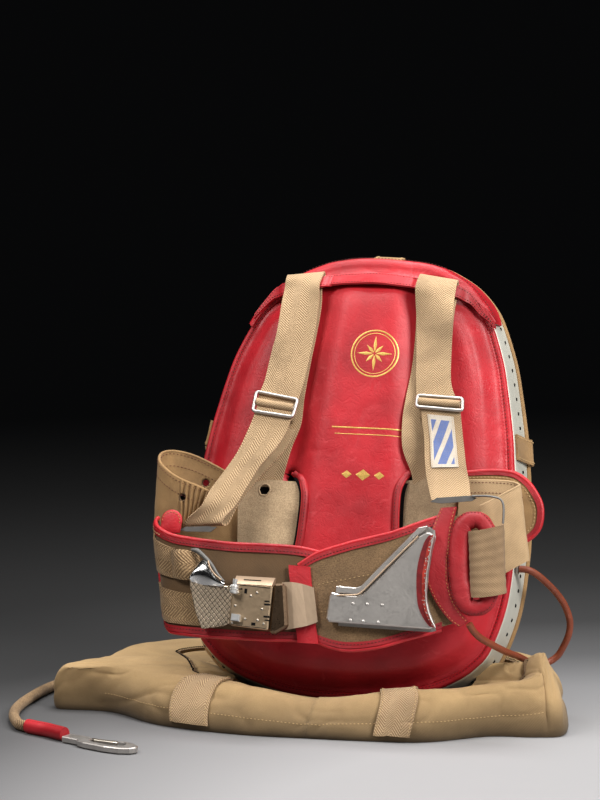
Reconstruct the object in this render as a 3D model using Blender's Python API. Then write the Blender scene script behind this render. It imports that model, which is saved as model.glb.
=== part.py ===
"""Packed back parachute standing in the open mouth of its canvas carrying bag.

The pack is an egg-shaped aluminium rim with a padded leather front, a domed canvas back,
shoulder straps, a wide belt with a quick-release buckle and an opening lever, a padded
release ring with its ripcord hose, and a static line with a snap hook.

Tables are in millimetres. Pieces of the pack are laid out in the pack's own frame (x to the
right, y to the back, z up along the pack, origin at the foot of the rim), which leans back.
The bag and the static line lie in the world frame. Blender itself works in metres, +Z up,
with the origin on the floor under the pack.
"""
import math

import bpy
import bmesh
import numpy as np
from mathutils import Matrix, Vector
from mathutils.geometry import delaunay_2d_cdt

MM = 0.001
GAP = 0.3

# Driving sizes (mm and degrees)
PACK_HEIGHT = 518.0
PACK_LEAN = 17.0
PACK_ROLL = 0.6
PACK_FOOT = (-14.0, -4.0, 16.2)
PACK_CENTRE_Z = 245.0
RIM_DEPTH = 40.0
RIM_FLARE = 6.5
RIM_WALL = 3.0
RIM_LIP = 9.0
BACK_BULGE = 78.0
PANEL_BORDER = 4.0
WEBBING = 2.2
LEATHER = 2.4
BELT = 4.0
CANVAS = 2.4
BAG_CLOTH = 2.2
PIPING_RADIUS = 2.6
HOSE_RADIUS = 3.9
LINE_RADIUS = 6.0
SPINE_X = 6.0

# Outline of the rim: height along the pack, half width to the left, half width to the right
OUTLINE_ROWS = [
    (10, 0, 0), (13.5, 58, 58), (27, 109, 109), (41, 137, 137), (55, 155, 155), (76, 171, 171),
    (128, 186, 186), (190, 190, 190), (240, 188, 188), (294, 181, 182), (325, 175.5, 178),
    (375, 164, 168.5), (407, 154, 161), (446, 135.5, 147), (466, 122, 136.5), (487, 98, 118),
    (502, 74, 96), (513.5, 42, 66), (518, 0, 0)]


# ---------------------------------------------------------------- scene and materials

def clear_scene():
    for old in list(bpy.data.objects):
        bpy.data.objects.remove(old, do_unlink=True)


def material(name, colour, roughness, metallic=0.0):
    """A Principled BSDF material with one colour, roughness and metallic value."""
    made = bpy.data.materials.new(name)
    made.use_nodes = True
    shader = made.node_tree.nodes["Principled BSDF"]
    shader.inputs["Base Color"].default_value = (*colour, 1.0)
    shader.inputs["Roughness"].default_value = roughness
    shader.inputs["Metallic"].default_value = metallic
    return made


FINISHES = {
    "red_leather": ((0.50, 0.02, 0.03), 0.45, 0.0),
    "tan_canvas": ((0.52, 0.37, 0.20), 0.85, 0.0),
    "tan_webbing": ((0.62, 0.47, 0.28), 0.85, 0.0),
    "suede": ((0.45, 0.31, 0.16), 0.95, 0.0),
    "grey_rim": ((0.46, 0.47, 0.43), 0.5, 0.6),
    "bright_steel": ((0.70, 0.70, 0.68), 0.3, 1.0),
    "brown_leather": ((0.30, 0.11, 0.05), 0.55, 0.0),
    "woven_label": ((0.16, 0.26, 0.55), 0.9, 0.0),
}


def finish(obj, finish_name):
    """Give the object its own material, made from the named finish."""
    colour, roughness, metallic = FINISHES[finish_name]
    obj.data.materials.append(material(obj.name + "_" + finish_name, colour, roughness, metallic))
    return obj


def frame_empty(name, matrix, parent=None):
    """An empty that carries a frame."""
    empty = bpy.data.objects.new(name, None)
    bpy.context.collection.objects.link(empty)
    empty.parent = parent
    empty.matrix_local = matrix
    return empty


def mesh_object(name, points, faces, finish_name, parent=None, smooth=True):
    """One closed mesh object from points in millimetres, with its faces turned outwards."""
    mesh = bpy.data.meshes.new(name)
    mesh.from_pydata([tuple(p * MM) for p in np.asarray(points, float)], [], faces)
    edit = bmesh.new()
    edit.from_mesh(mesh)
    bmesh.ops.recalc_face_normals(edit, faces=edit.faces)
    edit.to_mesh(mesh)
    edit.free()
    if smooth:
        mesh.shade_smooth()
        mesh.set_sharp_from_angle(angle=math.radians(35))
    obj = bpy.data.objects.new(name, mesh)
    bpy.context.collection.objects.link(obj)
    obj.parent = parent
    return finish(obj, finish_name)


# ---------------------------------------------------------------- curves and grids

def smooth_rows(rows, steps, closed=False):
    """Rows of numbers joined by a smooth curve through them, with steps points per span."""
    table = np.asarray(rows, float)
    count = len(table)
    spans = count if closed else count - 1
    place = np.linspace(0, spans, spans * steps + (0 if closed else 1), endpoint=not closed)
    low = np.minimum(place.astype(int), spans - 1)
    part = (place - low)[:, None]
    index = [low - 1, low, low + 1, low + 2]
    if closed:
        a, b, c, d = (table[i % count] for i in index)
    else:
        a, b, c, d = (table[np.clip(i, 0, count - 1)] for i in index)
    return 0.5 * (2 * b + (c - a) * part + (2 * a - 5 * b + 4 * c - d) * part ** 2
                  + (3 * b - a - 3 * c + d) * part ** 3)


def at_rows(rows, place, closed=False):
    """The smooth curve through the rows, read at the given row numbers (whole or between)."""
    fine = smooth_rows(rows, 24, closed)
    spot = np.asarray(place, float) * 24
    index = np.arange(len(fine) + 1)
    looped = np.vstack([fine, fine[:1] if closed else fine[-1:]])
    return np.stack([np.interp(spot, index, looped[:, k]) for k in range(fine.shape[1])], -1)


def grid_normals(grid, closed=False):
    """Unit normals of a grid of points, across its two directions."""
    if closed:
        along = np.roll(grid, -1, 0) - np.roll(grid, 1, 0)
    else:
        along = np.gradient(grid, axis=0)
    across = np.gradient(grid, axis=1)
    normal = np.cross(along, across)
    return normal / np.linalg.norm(normal, axis=2, keepdims=True)


def sheet_faces(rows, columns, closed=False):
    """Faces of a sheet with two sides: side one's points first, then side two's."""
    side = rows * columns
    faces = []
    last = rows if closed else rows - 1
    for i in range(last):
        a, b = i * columns, (i + 1) % rows * columns
        for j in range(columns - 1):
            faces.append((a + j, a + j + 1, b + j + 1, b + j))
            faces.append((side + a + j, side + b + j, side + b + j + 1, side + a + j + 1))
        for j in (0, columns - 1):
            faces.append((a + j, b + j, side + b + j, side + a + j))
    if not closed:
        for i in (0, rows - 1):
            for j in range(columns - 1):
                a = i * columns + j
                faces.append((a, a + 1, side + a + 1, side + a))
    return faces


def sheet(name, grid, thickness, finish_name, parent, offset=0.0, closed=False):
    """A sheet of even thickness laid along a grid of points in millimetres."""
    normal = grid_normals(grid, closed)
    near = grid + normal * (offset + thickness / 2)
    far = grid + normal * (offset - thickness / 2)
    rows, columns = grid.shape[:2]
    points = np.vstack([near.reshape(-1, 3), far.reshape(-1, 3)])
    return mesh_object(name, points, sheet_faces(rows, columns, closed), finish_name, parent)


def band_grid(rows, steps, across, closed=False):
    """Grid between two edges; a row holds edge A's x, y, z and edge B's x, y, z."""
    fine = smooth_rows(rows, steps, closed)
    share = np.linspace(0, 1, across + 1)[None, :, None]
    return fine[:, None, :3] * (1 - share) + fine[:, None, 3:] * share


def patch_grid(rows, first, last, count, low, high, across):
    """Part of a band's grid: from row number first to last, and from low to high across it."""
    edges = at_rows(rows, np.linspace(first, last, count))
    share = np.linspace(low, high, across + 1)[None, :, None]
    return edges[:, None, :3] * (1 - share) + edges[:, None, 3:] * share


def tube(name, points, radius, finish_name, parent=None, resolution=2, steps=3):
    """A round cord or rod: a curve with filled caps through smooth points (mm)."""
    route = smooth_rows(points, steps) if steps > 1 else np.asarray(points, float)
    curve = bpy.data.curves.new(name, "CURVE")
    curve.dimensions = "3D"
    curve.bevel_depth = radius * MM
    curve.bevel_resolution = resolution
    curve.use_fill_caps = True
    spline = curve.splines.new("POLY")
    spline.points.add(len(route) - 1)
    spline.points.foreach_set("co", np.column_stack([route * MM, np.ones(len(route))]).ravel())
    obj = bpy.data.objects.new(name, curve)
    bpy.context.collection.objects.link(obj)
    obj.parent = parent
    return finish(obj, finish_name)


def slab(name, outline, front, back, finish_name, parent, bevel=0.0):
    """An outline (x, z in mm) pushed out along y from front to back, with softened edges."""
    flat = np.asarray(outline, float)
    count = len(flat)
    points = [(x, level, z) for level in (front, back) for x, z in flat]
    faces = [tuple(range(count)), tuple(range(2 * count - 1, count - 1, -1))]
    faces += [(i, (i + 1) % count, count + (i + 1) % count, count + i) for i in range(count)]
    obj = mesh_object(name, points, faces, finish_name, parent)
    if bevel:
        soften = obj.modifiers.new("soft edges", "BEVEL")
        soften.width = bevel * MM
        soften.segments = 1
        soften.limit_method = "ANGLE"
        soften.angle_limit = math.radians(50)
    return obj


def cut(obj, cutter):
    """Take the cutter's shape out of the object."""
    cutter.hide_render = True
    cutter.display_type = "WIRE"
    boolean = obj.modifiers.new("cut " + cutter.name, "BOOLEAN")
    boolean.operation = "DIFFERENCE"
    boolean.solver = "EXACT"
    boolean.object = cutter
    return obj


# ---------------------------------------------------------------- the pack's own surfaces

def closed_outline():
    """Fine points (x, z) round the rim's egg-shaped outline."""
    right = [(width, height) for height, _, width in OUTLINE_ROWS]
    left = [(-width, height) for height, width, _ in OUTLINE_ROWS[-2:0:-1]]
    return smooth_rows(right + left, 6, closed=True)


OUTLINE = closed_outline()
OUTLINE_ANGLE = np.arctan2(OUTLINE[:, 0], OUTLINE[:, 1] - PACK_CENTRE_Z)
OUTLINE_REACH = np.hypot(OUTLINE[:, 0], OUTLINE[:, 1] - PACK_CENTRE_Z)
OUTLINE_ORDER = np.argsort(OUTLINE_ANGLE)


def reach_at(angle):
    """Distance from the pack's centre to its outline, at an angle from the top (radians)."""
    return np.interp(angle, OUTLINE_ANGLE[OUTLINE_ORDER], OUTLINE_REACH[OUTLINE_ORDER],
                     period=2 * math.pi)


def ease(value):
    """Smooth step from 0 to 1."""
    value = np.clip(value, 0, 1)
    return value * value * (3 - 2 * value)


def edge_distance(x, z):
    """Distance in from the outline and share of the way out from the centre."""
    reach = reach_at(np.arctan2(x, z - PACK_CENTRE_Z))
    out = np.hypot(x, z - PACK_CENTRE_Z)
    return reach - out, out / reach


def front_height(x, z):
    """How far the padded leather front stands out of the rim's front plane.

    A flat stitched border, a rounded pad inside it, a low dome, and a raised spine down the
    middle with a shallow valley on both sides.
    """
    inward, share = edge_distance(x, z)
    height = PANEL_BORDER + 18 * ease((inward - 10) / 28) + 10 * np.clip(1 - share ** 2, 0, 1)
    half = np.interp(z, [165, 270, 500], [60, 58, 40])
    across = np.abs(x - SPINE_X)
    spine = 11 * (1 - ease((across - (half - 10)) / 18))
    spine = spine * ease((z - 110) / 60) * ease((inward - 14) / 40)
    valley = 4 * np.exp(-((across - (half + 16)) / 14) ** 2) * ease((inward - 20) / 30)
    return height + spine - valley


def back_depth(x, z):
    """How far the packed canvas stands behind the rim's front plane."""
    inward, share = edge_distance(x, z)
    return RIM_DEPTH + 10 * ease((inward + 9) / 12) + BACK_BULGE * np.clip(1 - share ** 2, 0, 1) ** 0.7


def on_front(rows):
    """Band rows (x, lift, z, x, lift, z) with each lift turned into the y over the front."""
    placed = []
    for ax, a_lift, az, bx, b_lift, bz in rows:
        placed.append((ax, -(front_height(ax, az) + a_lift), az,
                       bx, -(front_height(bx, bz) + b_lift), bz))
    return placed


def ring_points(inset, y, count):
    """Points of the outline at a constant distance inside it (negative is outside)."""
    angle = np.linspace(0, 2 * math.pi, count, endpoint=False)
    reach = reach_at(angle) - inset
    x = reach * np.sin(angle)
    z = PACK_CENTRE_Z + reach * np.cos(angle)
    level = y(x, z) if callable(y) else np.full(count, float(y))
    return np.stack([x, level, z], -1)


def ringed_solid(name, rings, tips, finish_name, parent):
    """A closed solid through rings of points; tips are its two end points, or none for a hoop."""
    count = len(rings[0])
    points = list(np.vstack(rings))
    faces = []
    total = len(rings)
    for r in range(total - 1 if tips else total):
        a, b = r * count, (r + 1) % total * count
        faces += [(a + i, a + (i + 1) % count, b + (i + 1) % count, b + i) for i in range(count)]
    if tips:
        first, last = len(points), len(points) + 1
        points += [np.asarray(tip, float) for tip in tips]
        end = (total - 1) * count
        faces += [(first, (i + 1) % count, i) for i in range(count)]
        faces += [(last, end + i, end + (i + 1) % count) for i in range(count)]
    return mesh_object(name, points, faces, finish_name, parent)


# ---------------------------------------------------------------- rim, front and back

ROUND = 54
FRONT_INSETS = [0.6, 5, 10, 15, 21, 28, 37]


def inner_points():
    """Points (x, z) inside the front's last ring, on the spine's lines."""
    inner = []
    for z in np.arange(52, 490, 19.0):
        half = np.interp(z, [165, 270, 500], [60, 58, 40])
        lines = [0, 22, half - 12, half - 4, half + 3, half + 10, half + 24, half + 48,
                 half + 76]
        for side in (-1, 1):
            inner += [(SPINE_X + side * line, z) for line in lines if line or side > 0]
    inner = np.array(inner)
    return inner[edge_distance(inner[:, 0], inner[:, 1])[0] > 45]


def build_front(pack):
    """The red leather front: border, pads, dome and spine, with the belt's tunnel behind it."""
    rings = [ring_points(inset, 0, ROUND)[:, (0, 2)] for inset in FRONT_INSETS]
    edge = [(i, (i + 1) % ROUND) for i in range(ROUND)]
    flat = [Vector(point) for point in np.vstack([rings[-1], inner_points()])]
    spots, _, faces = delaunay_2d_cdt(flat, edge, [], 1, 1e-5)[:3]
    start = ROUND * (len(rings) - 1)
    spots = np.vstack(rings[:-1] + [np.array([tuple(spot) for spot in spots])])
    faces = [tuple(start + i for i in face) for face in faces]
    for a in range(0, start, ROUND):
        faces += [(a + i, a + j, a + ROUND + j, a + ROUND + i) for i, j in edge]
    height = front_height(spots[:, 0], spots[:, 1])
    height[:ROUND] -= 1.0
    front = np.stack([spots[:, 0], -height, spots[:, 1]], -1)
    back = front[:ROUND] * (1, 0, 1) - (0, GAP, 0)
    total = len(front)
    faces += [(i, j, total + j, total + i) for i, j in edge]
    faces += [(total + i, total + j, total + ROUND) for i, j in edge]
    points = np.vstack([front, back, [(0, -GAP, PACK_CENTRE_Z)]])
    front = mesh_object("pack_front", points, faces, "red_leather", pack)
    tunnel = slab("belt_tunnel", [(SPINE_X - 88, 160), (SPINE_X + 88, 160), (SPINE_X + 88, 272),
                                  (SPINE_X - 88, 272)], -35.8, -30.8, "red_leather", pack)
    return cut(front, tunnel)


def rim_flare(y):
    """How far the rim's wall stands outside the outline at a depth."""
    return 1.0 + RIM_FLARE * y / RIM_DEPTH


def build_rim(pack):
    """The aluminium rim: a flared wall with a narrow lip turned in behind the front panel."""
    section = [(RIM_LIP, 0), (0.5, 0), (-rim_flare(1.5), 1.5), (-rim_flare(38), 38),
               (-rim_flare(38), RIM_DEPTH), (RIM_WALL - rim_flare(38), RIM_DEPTH),
               (RIM_WALL - rim_flare(3), 3), (RIM_LIP, 3)]
    rings = [ring_points(inset, y, ROUND) for inset, y in section]
    return ringed_solid("pack_rim", rings, None, "grey_rim", pack)


def build_back(pack):
    """The packed canopy under its canvas cover: a plug inside the rim and a dome behind it."""
    plug = RIM_WALL + 0.6
    profile = [(70, 0.2), (RIM_LIP + 0.6, 0.2), (RIM_LIP + 0.6, 3.4), (plug - rim_flare(4), 3.6),
               (plug - rim_flare(39), RIM_DEPTH + 0.4), (-10.5, RIM_DEPTH + 0.4),
               (-11.0, RIM_DEPTH + 3)]
    rings = [ring_points(inset, y, ROUND) for inset, y in profile]
    insets = [-8, 3, 18, 40, 72, 115]
    rings += [ring_points(inset, back_depth, ROUND) for inset in insets]
    deepest = (0, float(back_depth(0, PACK_CENTRE_Z)), PACK_CENTRE_Z)
    return ringed_solid("pack_back", rings, [(0, 0.2, PACK_CENTRE_Z), deepest], "tan_canvas", pack)


# ---------------------------------------------------------------- yoke, top tab and wraps

# Lower edge x and z on the front; angle round the rim (degrees from the top); wrap over the rim
YOKE_ROWS = [
    (-134, 450, -36, 20), (-113, 470, -28, 34), (-84, 480, -19, 34), (-50, 484, -11, 34),
    (-36, 485, -8.5, 33), (-28, 486, -7, 1.5), (11, 487, 1, 1.5), (46, 486, 9, 1.5),
    (54, 485, 10.8, 33), (82, 483, 16, 34), (112, 479, 24, 34), (138, 466, 31, 32),
    (151, 452, 36, 22)]
YOKE_LIFT = 2.0 + LEATHER / 2
YOKE_OVER = 1.3 + LEATHER / 2

# x, lift over the front, bottom and top heights of the band that the shoulder straps hang on
YOKE_BAND_ROWS = [
    (-114, 7.4, 468, 479), (-107, 10, 470, 483), (-99, 15.5, 472, 486), (-76, 16, 476, 490),
    (-52, 15.5, 480, 494), (-43, 10.6, 482, 497), (-36, 9.6, 484, 498), (10, 9.2, 486, 501),
    (48, 9.2, 484, 498), (54, 10.6, 483, 497), (62, 15.5, 481, 495), (84, 16, 478, 493),
    (105, 15.5, 475, 489), (114, 10, 472, 486), (121, 7.4, 469, 481)]


def yoke_column(row, steps):
    """Points up one column of the yoke: over the panel, over the rim's edge, down its side."""
    low_x, low_z, angle, wrap = row
    angle = math.radians(angle)
    reach = float(reach_at(angle))
    edge = np.array([reach * math.sin(angle), PACK_CENTRE_Z + reach * math.cos(angle)])
    centre = np.array([0, PACK_CENTRE_Z])
    outward = (edge - centre) / reach
    low = np.array([low_x, low_z])
    column = []
    for share in np.linspace(0, 1, steps):
        x, z = low * (1 - share) + (edge - outward * 3.0) * share
        column.append((x, -(float(front_height(x, z)) + YOKE_LIFT), z))
    over = edge + outward * (YOKE_OVER - 0.2)
    column.append((over[0], -PANEL_BORDER - 0.4, over[1]))
    for share in (0.08, 0.5, 1.0):
        depth = wrap * share
        x, z = edge + outward * (rim_flare(depth) + YOKE_OVER)
        column.append((x, depth, z))
    return column


def build_yoke(pack):
    rows = smooth_rows(YOKE_ROWS, 2)
    grid = np.array([yoke_column(row, 4) for row in rows])
    return sheet("yoke", grid, LEATHER, "red_leather", pack)


def build_yoke_band(pack):
    rows = [(x, lift, low, x, lift, high) for x, lift, low, high in YOKE_BAND_ROWS]
    return sheet("yoke_band", band_grid(on_front(rows), 2, 2), LEATHER, "red_leather", pack)


def build_top_tab(pack):
    """Canvas tab over the top of the rim and down the back."""
    left, right = -9.0, 25.0
    lift = CANVAS / 2 + 0.6
    rows = []
    for y, out in ((4.5, 3.2), (12, 4.2), (24, 6.4), (RIM_DEPTH + 1, 13.4), (RIM_DEPTH + 12, 12.4)):
        z = PACK_HEIGHT + out + lift
        rows.append((left, y, z - 0.8, right, y, z - 1.6))
    for height, out in ((500, 2.4), (470, 2.0), (440, 2.0), (415, 2.0)):
        ends = [(x, float(back_depth(x, height)) + lift + out, height) for x in (left, right)]
        rows.append((*ends[0], *ends[1]))
    return sheet("top_tab", band_grid(rows, 3, 2), CANVAS, "tan_canvas", pack)


def build_back_band(pack):
    """Canvas band across the back whose ends wrap round the rim on both sides."""
    low, high = 295.0, 324.0
    lift = CANVAS / 2 + 0.8
    around = [(2, 1.2), (20, 4.6), (35, 9.2), (40, 11.8), (44.5, 12.0), (52, 9.0), (59.5, -3.0)]
    half = {side: [side * (float(reach_at(math.atan2(side * 178, z - PACK_CENTRE_Z)))
                           * math.sin(math.atan2(178, z - PACK_CENTRE_Z))) for z in (low, high)]
            for side in (-1, 1)}
    rows = []
    for side, steps in ((1, around), (-1, around[::-1])):
        for y, out in steps:
            reach = side * (out + lift)
            rows.append((half[side][0] + reach, y, low, half[side][1] + reach, y, high))
        if side > 0:
            for share in np.linspace(0.86, -0.86, 11):
                x = 180 * share
                rows.append((x, float(back_depth(x, low)) + lift + 1.4, low,
                             x, float(back_depth(x, high)) + lift + 1.4, high))
    return sheet("back_band", band_grid(rows, 2, 2), CANVAS, "tan_canvas", pack)


# ---------------------------------------------------------------- shoulder straps

# Each row: left edge x, lift over the front, z, then right edge x, lift, z.
# The straps run from the slide up the front, over the yoke band, and down behind it.
STRAP_L_ROWS = [
    (-112, 17, 326, -67, 12.5, 321), (-111, 22, 345, -66, 17, 340), (-106, 19, 366, -62, 15, 362),
    (-102, 16, 400, -58, 14, 391),
    (-98, 15.5, 424, -54, 14, 428), (-97, 18.2, 455, -52, 17, 462), (-97, 21, 476, -53, 20.4, 480),
    (-97, 21, 488, -53, 21, 492), (-97, 15, 495, -53, 15, 500), (-97, 9.6, 489, -53, 9.6, 494),
    (-97, 9.4, 478, -53, 9.4, 482), (-96, 8.2, 455, -51, 8.2, 457), (-98, 7, 420, -54, 7, 422),
    (-102, 7, 385, -58, 7, 386), (-104, 7, 350, -61, 7, 350), (-103, 7, 315, -62, 7.5, 318),
    (-108, 8.5, 285, -66, 8, 292), (-113, 10.5, 266, -74, 10, 273)]
STRAP_R_ROWS = [
    (76, 16.4, 331, 124, 17.5, 330), (73.4, 16.1, 349, 120, 19, 350.5),
    (70.4, 15.2, 371, 111, 16, 373), (67, 13.6, 412, 108, 14, 410),
    (64, 14.5, 445, 107, 15.5, 440), (62, 18.6, 466, 106, 18.8, 462), (61, 21.6, 481, 105, 21.8, 475),
    (61, 21.6, 492, 105, 21.6, 486), (61, 15, 500.5, 105, 15, 495), (61, 8.6, 494, 105, 8.6, 488),
    (61, 8.6, 482, 105, 8.6, 476), (62, 8.2, 455, 106, 8.2, 452), (63, 6.2, 420, 106, 7, 418),
    (62, 5.4, 388, 104, 6.6, 389.5), (59, 5.2, 354, 100, 6.4, 357), (58, 5.6, 326, 97, 7.4, 329),
    (61, 6.6, 295, 100, 8.4, 300), (68, 8.6, 274, 106, 8.8, 279)]
STRAP_LOWER_L_ROWS = [
    (-109, 30, 333, -68, 25.5, 329), (-115, 32, 310, -72, 26.5, 309), (-125, 36, 280, -82, 30, 286),
    (-137, 42, 256, -98, 34, 263), (-149, 50, 234, -109, 40, 239), (-158, 58, 212, -118, 45, 218),
    (-176, 66, 197, -130, 51, 200), (-180, 62, 190, -132, 50, 194), (-173, 54, 192, -127, 43, 196),
    (-158, 46, 212, -118, 36, 220), (-144, 36, 238, -103, 28, 246), (-128, 28, 262, -86, 21, 270),
    (-116, 20, 288, -73, 14.5, 292), (-109, 15, 312, -66, 11, 312)]
STRAP_LOWER_R_ROWS = [
    (79, 21.3, 346, 125, 24.7, 343), (83, 21.9, 325, 129, 25.3, 322), (87, 23, 306, 133, 27, 302),
    (92, 29, 274, 139, 33, 276), (99, 36, 250, 145, 38, 256), (106, 44, 233, 150, 48, 237)]

# x, z and lift of the four corners of a strap slide, from the top left round to the top right
SLIDE_L_CORNERS = [(-113, 25.5, 351), (-113, 33.5, 327), (-67, 29, 323), (-65, 20.5, 345)]
SLIDE_R_CORNERS = [(74, 19.5, 356), (75, 25, 342), (129, 28.5, 339), (127, 22.5, 354)]


def build_straps(pack):
    rows = {"strap_l": STRAP_L_ROWS, "strap_r": STRAP_R_ROWS,
            "strap_lower_l": STRAP_LOWER_L_ROWS, "strap_lower_r": STRAP_LOWER_R_ROWS}
    for name, table in rows.items():
        sheet(name, band_grid(on_front(table), 2, 2), WEBBING, "tan_webbing", pack)


def hoop(name, corners, radius, finish_name, parent, closed=True, resolution=1):
    """A wire frame bent through corner points (mm), closed into a loop."""
    curve = bpy.data.curves.new(name, "CURVE")
    curve.dimensions = "3D"
    curve.bevel_depth = radius * MM
    curve.bevel_resolution = resolution
    curve.use_fill_caps = not closed
    spline = curve.splines.new("POLY")
    spline.points.add(len(corners) - 1)
    flat = np.column_stack([np.asarray(corners, float) * MM, np.ones(len(corners))])
    spline.points.foreach_set("co", flat.ravel())
    spline.use_cyclic_u = closed
    obj = bpy.data.objects.new(name, curve)
    bpy.context.collection.objects.link(obj)
    obj.parent = parent
    return finish(obj, finish_name)


def build_slides(pack):
    """The two strap slides: a wire frame round the webbing of each strap."""
    for name, corners in (("slide_l", SLIDE_L_CORNERS), ("slide_r", SLIDE_R_CORNERS)):
        placed = [(x, -(float(front_height(x, z)) + lift), z) for x, lift, z in corners]
        hoop(name, placed, 1.5, "bright_steel", pack)


def build_label(pack):
    """The woven label sewn on the right lower strap."""
    grid = patch_grid(on_front(STRAP_LOWER_R_ROWS), 0.6, 3.1, 6, 0.16, 0.82, 2)
    sheet("label_r", grid, 0.7, "woven_label", pack, offset=WEBBING / 2 + GAP + 0.4)


# ---------------------------------------------------------------- belt, wings and piping

# Rows: upper edge x, y, z, then lower edge x, y, z
BELT_BACK_ROWS = [
    (-126, -39, 214, -122, -39, 163), (-112, -38, 229, -110, -38, 162), (-91, -36.5, 250, -89, -36.5, 163),
    (-62, -33.3, 252, -62, -33.3, 166), (6, -33.3, 256, 6, -33.3, 166), (74, -33.3, 260, 74, -33.3, 166),
    (100, -36.5, 264, 100, -36.5, 166), (136, -40, 263, 136, -40, 170)]
BELT_LEFT_ROWS = [
    (-212, -64, 194, -190, -62, 78), (-211, -74, 188, -187, -73, 76), (-203, -85, 180, -178, -84, 71),
    (-184, -92, 172, -160, -91, 69), (-154, -96, 168, -134, -95, 68), (-114, -95, 166, -102, -94, 68),
    (-74, -89, 167, -62, -89, 69), (-38, -81, 167, -32, -83, 71), (-12, -75, 163, -10, -78, 72)]
BELT_RIGHT_ROWS = [
    (-36, -86, 147, -19, -87, 75), (-16, -88, 161, 2, -89, 67), (22, -90, 175, 28, -91, 63),
    (64, -88, 188, 60, -90, 68), (94, -83.5, 201, 94, -86, 80), (120, -77.5, 212, 124, -79, 91),
    (138, -73.5, 218, 147, -74, 100)]
WING_LEFT_ROWS = [
    (-118, -33, 238, -108, -33, 172), (-142, -31.5, 256, -132, -32, 172), (-166, -30, 268, -160, -29, 172),
    (-190, -30, 277, -188, -29, 174), (-212, -33, 280, -212, -31, 174), (-223, -43, 275, -222, -39, 174),
    (-220, -56, 264, -218, -49, 175), (-206, -64, 252, -203, -56, 178), (-189, -67, 243, -187, -60, 184),
    (-168, -67, 236, -174, -62, 192)]
WING_RIGHT_ROWS = [
    (131, -36, 268, 131, -36, 178), (166, -29, 275, 170, -29, 188), (189, -23, 274, 195, -23, 196),
    (206, -20, 262, 209, -20, 204), (218, -19, 246, 218.5, -19, 218)]
BAND_RIGHT_ROWS = [
    (130, -43.4, 261, 132, -43.4, 172), (164, -42.6, 263, 168, -42.6, 169), (187, -40, 263, 198, -40, 170),
    (197, -43, 260, 212, -42, 178), (198, -51, 257, 214, -50, 181), (188, -58, 249, 202, -57, 174),
    (172, -62.5, 238, 186, -62, 164), (160, -64.5, 231, 172, -64.5, 158)]
# Eyelets of the left wing, one in each layer: centre x, y, z and radius
EYELETS_LEFT = [(-185, -65, 223, 4.5), (-170, -30, 245.5, 5.0)]


def edge_tube(name, rows, column, out, pack, radius=PIPING_RADIUS, first=0.0, last=None, count=20):
    """Leather piping just outside one edge of a band: column 0 is the upper edge, 1 the lower."""
    last = len(rows) - 1 if last is None else last
    edges = at_rows(rows, np.linspace(first, last, count))
    upper, lower = edges[:, :3], edges[:, 3:]
    away = upper - lower if column == 0 else lower - upper
    away = away / np.linalg.norm(away, axis=1, keepdims=True)
    route = (upper if column == 0 else lower) + away * out
    return tube(name, route, radius, "red_leather", pack, resolution=1, steps=1)


def build_belt(pack):
    back = sheet("belt_back", band_grid(BELT_BACK_ROWS, 2, 4), 3.0, "suede", pack)
    hole = slab("torn_hole", [(-105, 236), (-99, 234), (-91, 237), (-88, 243), (-91, 249),
                              (-98, 249.5), (-104, 245)], -60, -31, "suede", pack)
    cut(back, hole)
    sheet("belt_left", band_grid(BELT_LEFT_ROWS, 2, 4), BELT, "tan_canvas", pack)
    sheet("belt_right", band_grid(BELT_RIGHT_ROWS, 2, 4), BELT, "suede", pack)
    out = PIPING_RADIUS + GAP + 0.5
    edge_tube("piping_left_top", BELT_LEFT_ROWS, 0, out, pack)
    edge_tube("piping_left_low", BELT_LEFT_ROWS, 1, out, pack, last=7.0)
    edge_tube("piping_right_top", BELT_RIGHT_ROWS, 0, out, pack, last=5.6)
    edge_tube("piping_right_low", BELT_RIGHT_ROWS, 1, out, pack, last=5.2)


def build_wings(pack):
    wing = sheet("wing_l", band_grid(WING_LEFT_ROWS, 2, 4), CANVAS, "tan_canvas", pack)
    for number, (x, y, z, radius) in enumerate(EYELETS_LEFT):
        corners = [(x + radius * math.cos(a), z + radius * math.sin(a))
                   for a in np.linspace(0, 2 * math.pi, 10, endpoint=False)]
        cut(wing, slab("eyelet_%d" % number, corners, y - 10, y + 10, "tan_canvas", pack))
    sheet("wing_r", band_grid(WING_RIGHT_ROWS, 2, 3), CANVAS, "tan_canvas", pack)
    sheet("band_r", band_grid(BAND_RIGHT_ROWS, 3, 2), CANVAS, "tan_webbing", pack)
    rows = WING_RIGHT_ROWS
    out = PIPING_RADIUS + GAP
    upper = at_rows(rows, np.linspace(0.9, 4, 12))
    lower = at_rows(rows, np.linspace(4, 1.2, 10))
    top = upper[:, :3] + (0, 0, out)
    low = lower[:, 3:] - (0, 0, out)
    side = np.array([(218 + out, -19, 243), (218.8 + out, -19, 232), (218.5 + out, -19, 221)])
    top[-7:, 0] += np.array([0.4, 0.7, 1.0, 1.4, 1.8, 2.2, 2.8])
    low[:5, 0] += np.array([2.4, 1.6, 1.0, 0.6, 0.3])
    tube("piping_wing_r", np.vstack([top, side, low]), PIPING_RADIUS, "red_leather", pack,
         resolution=1, steps=1)


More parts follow.
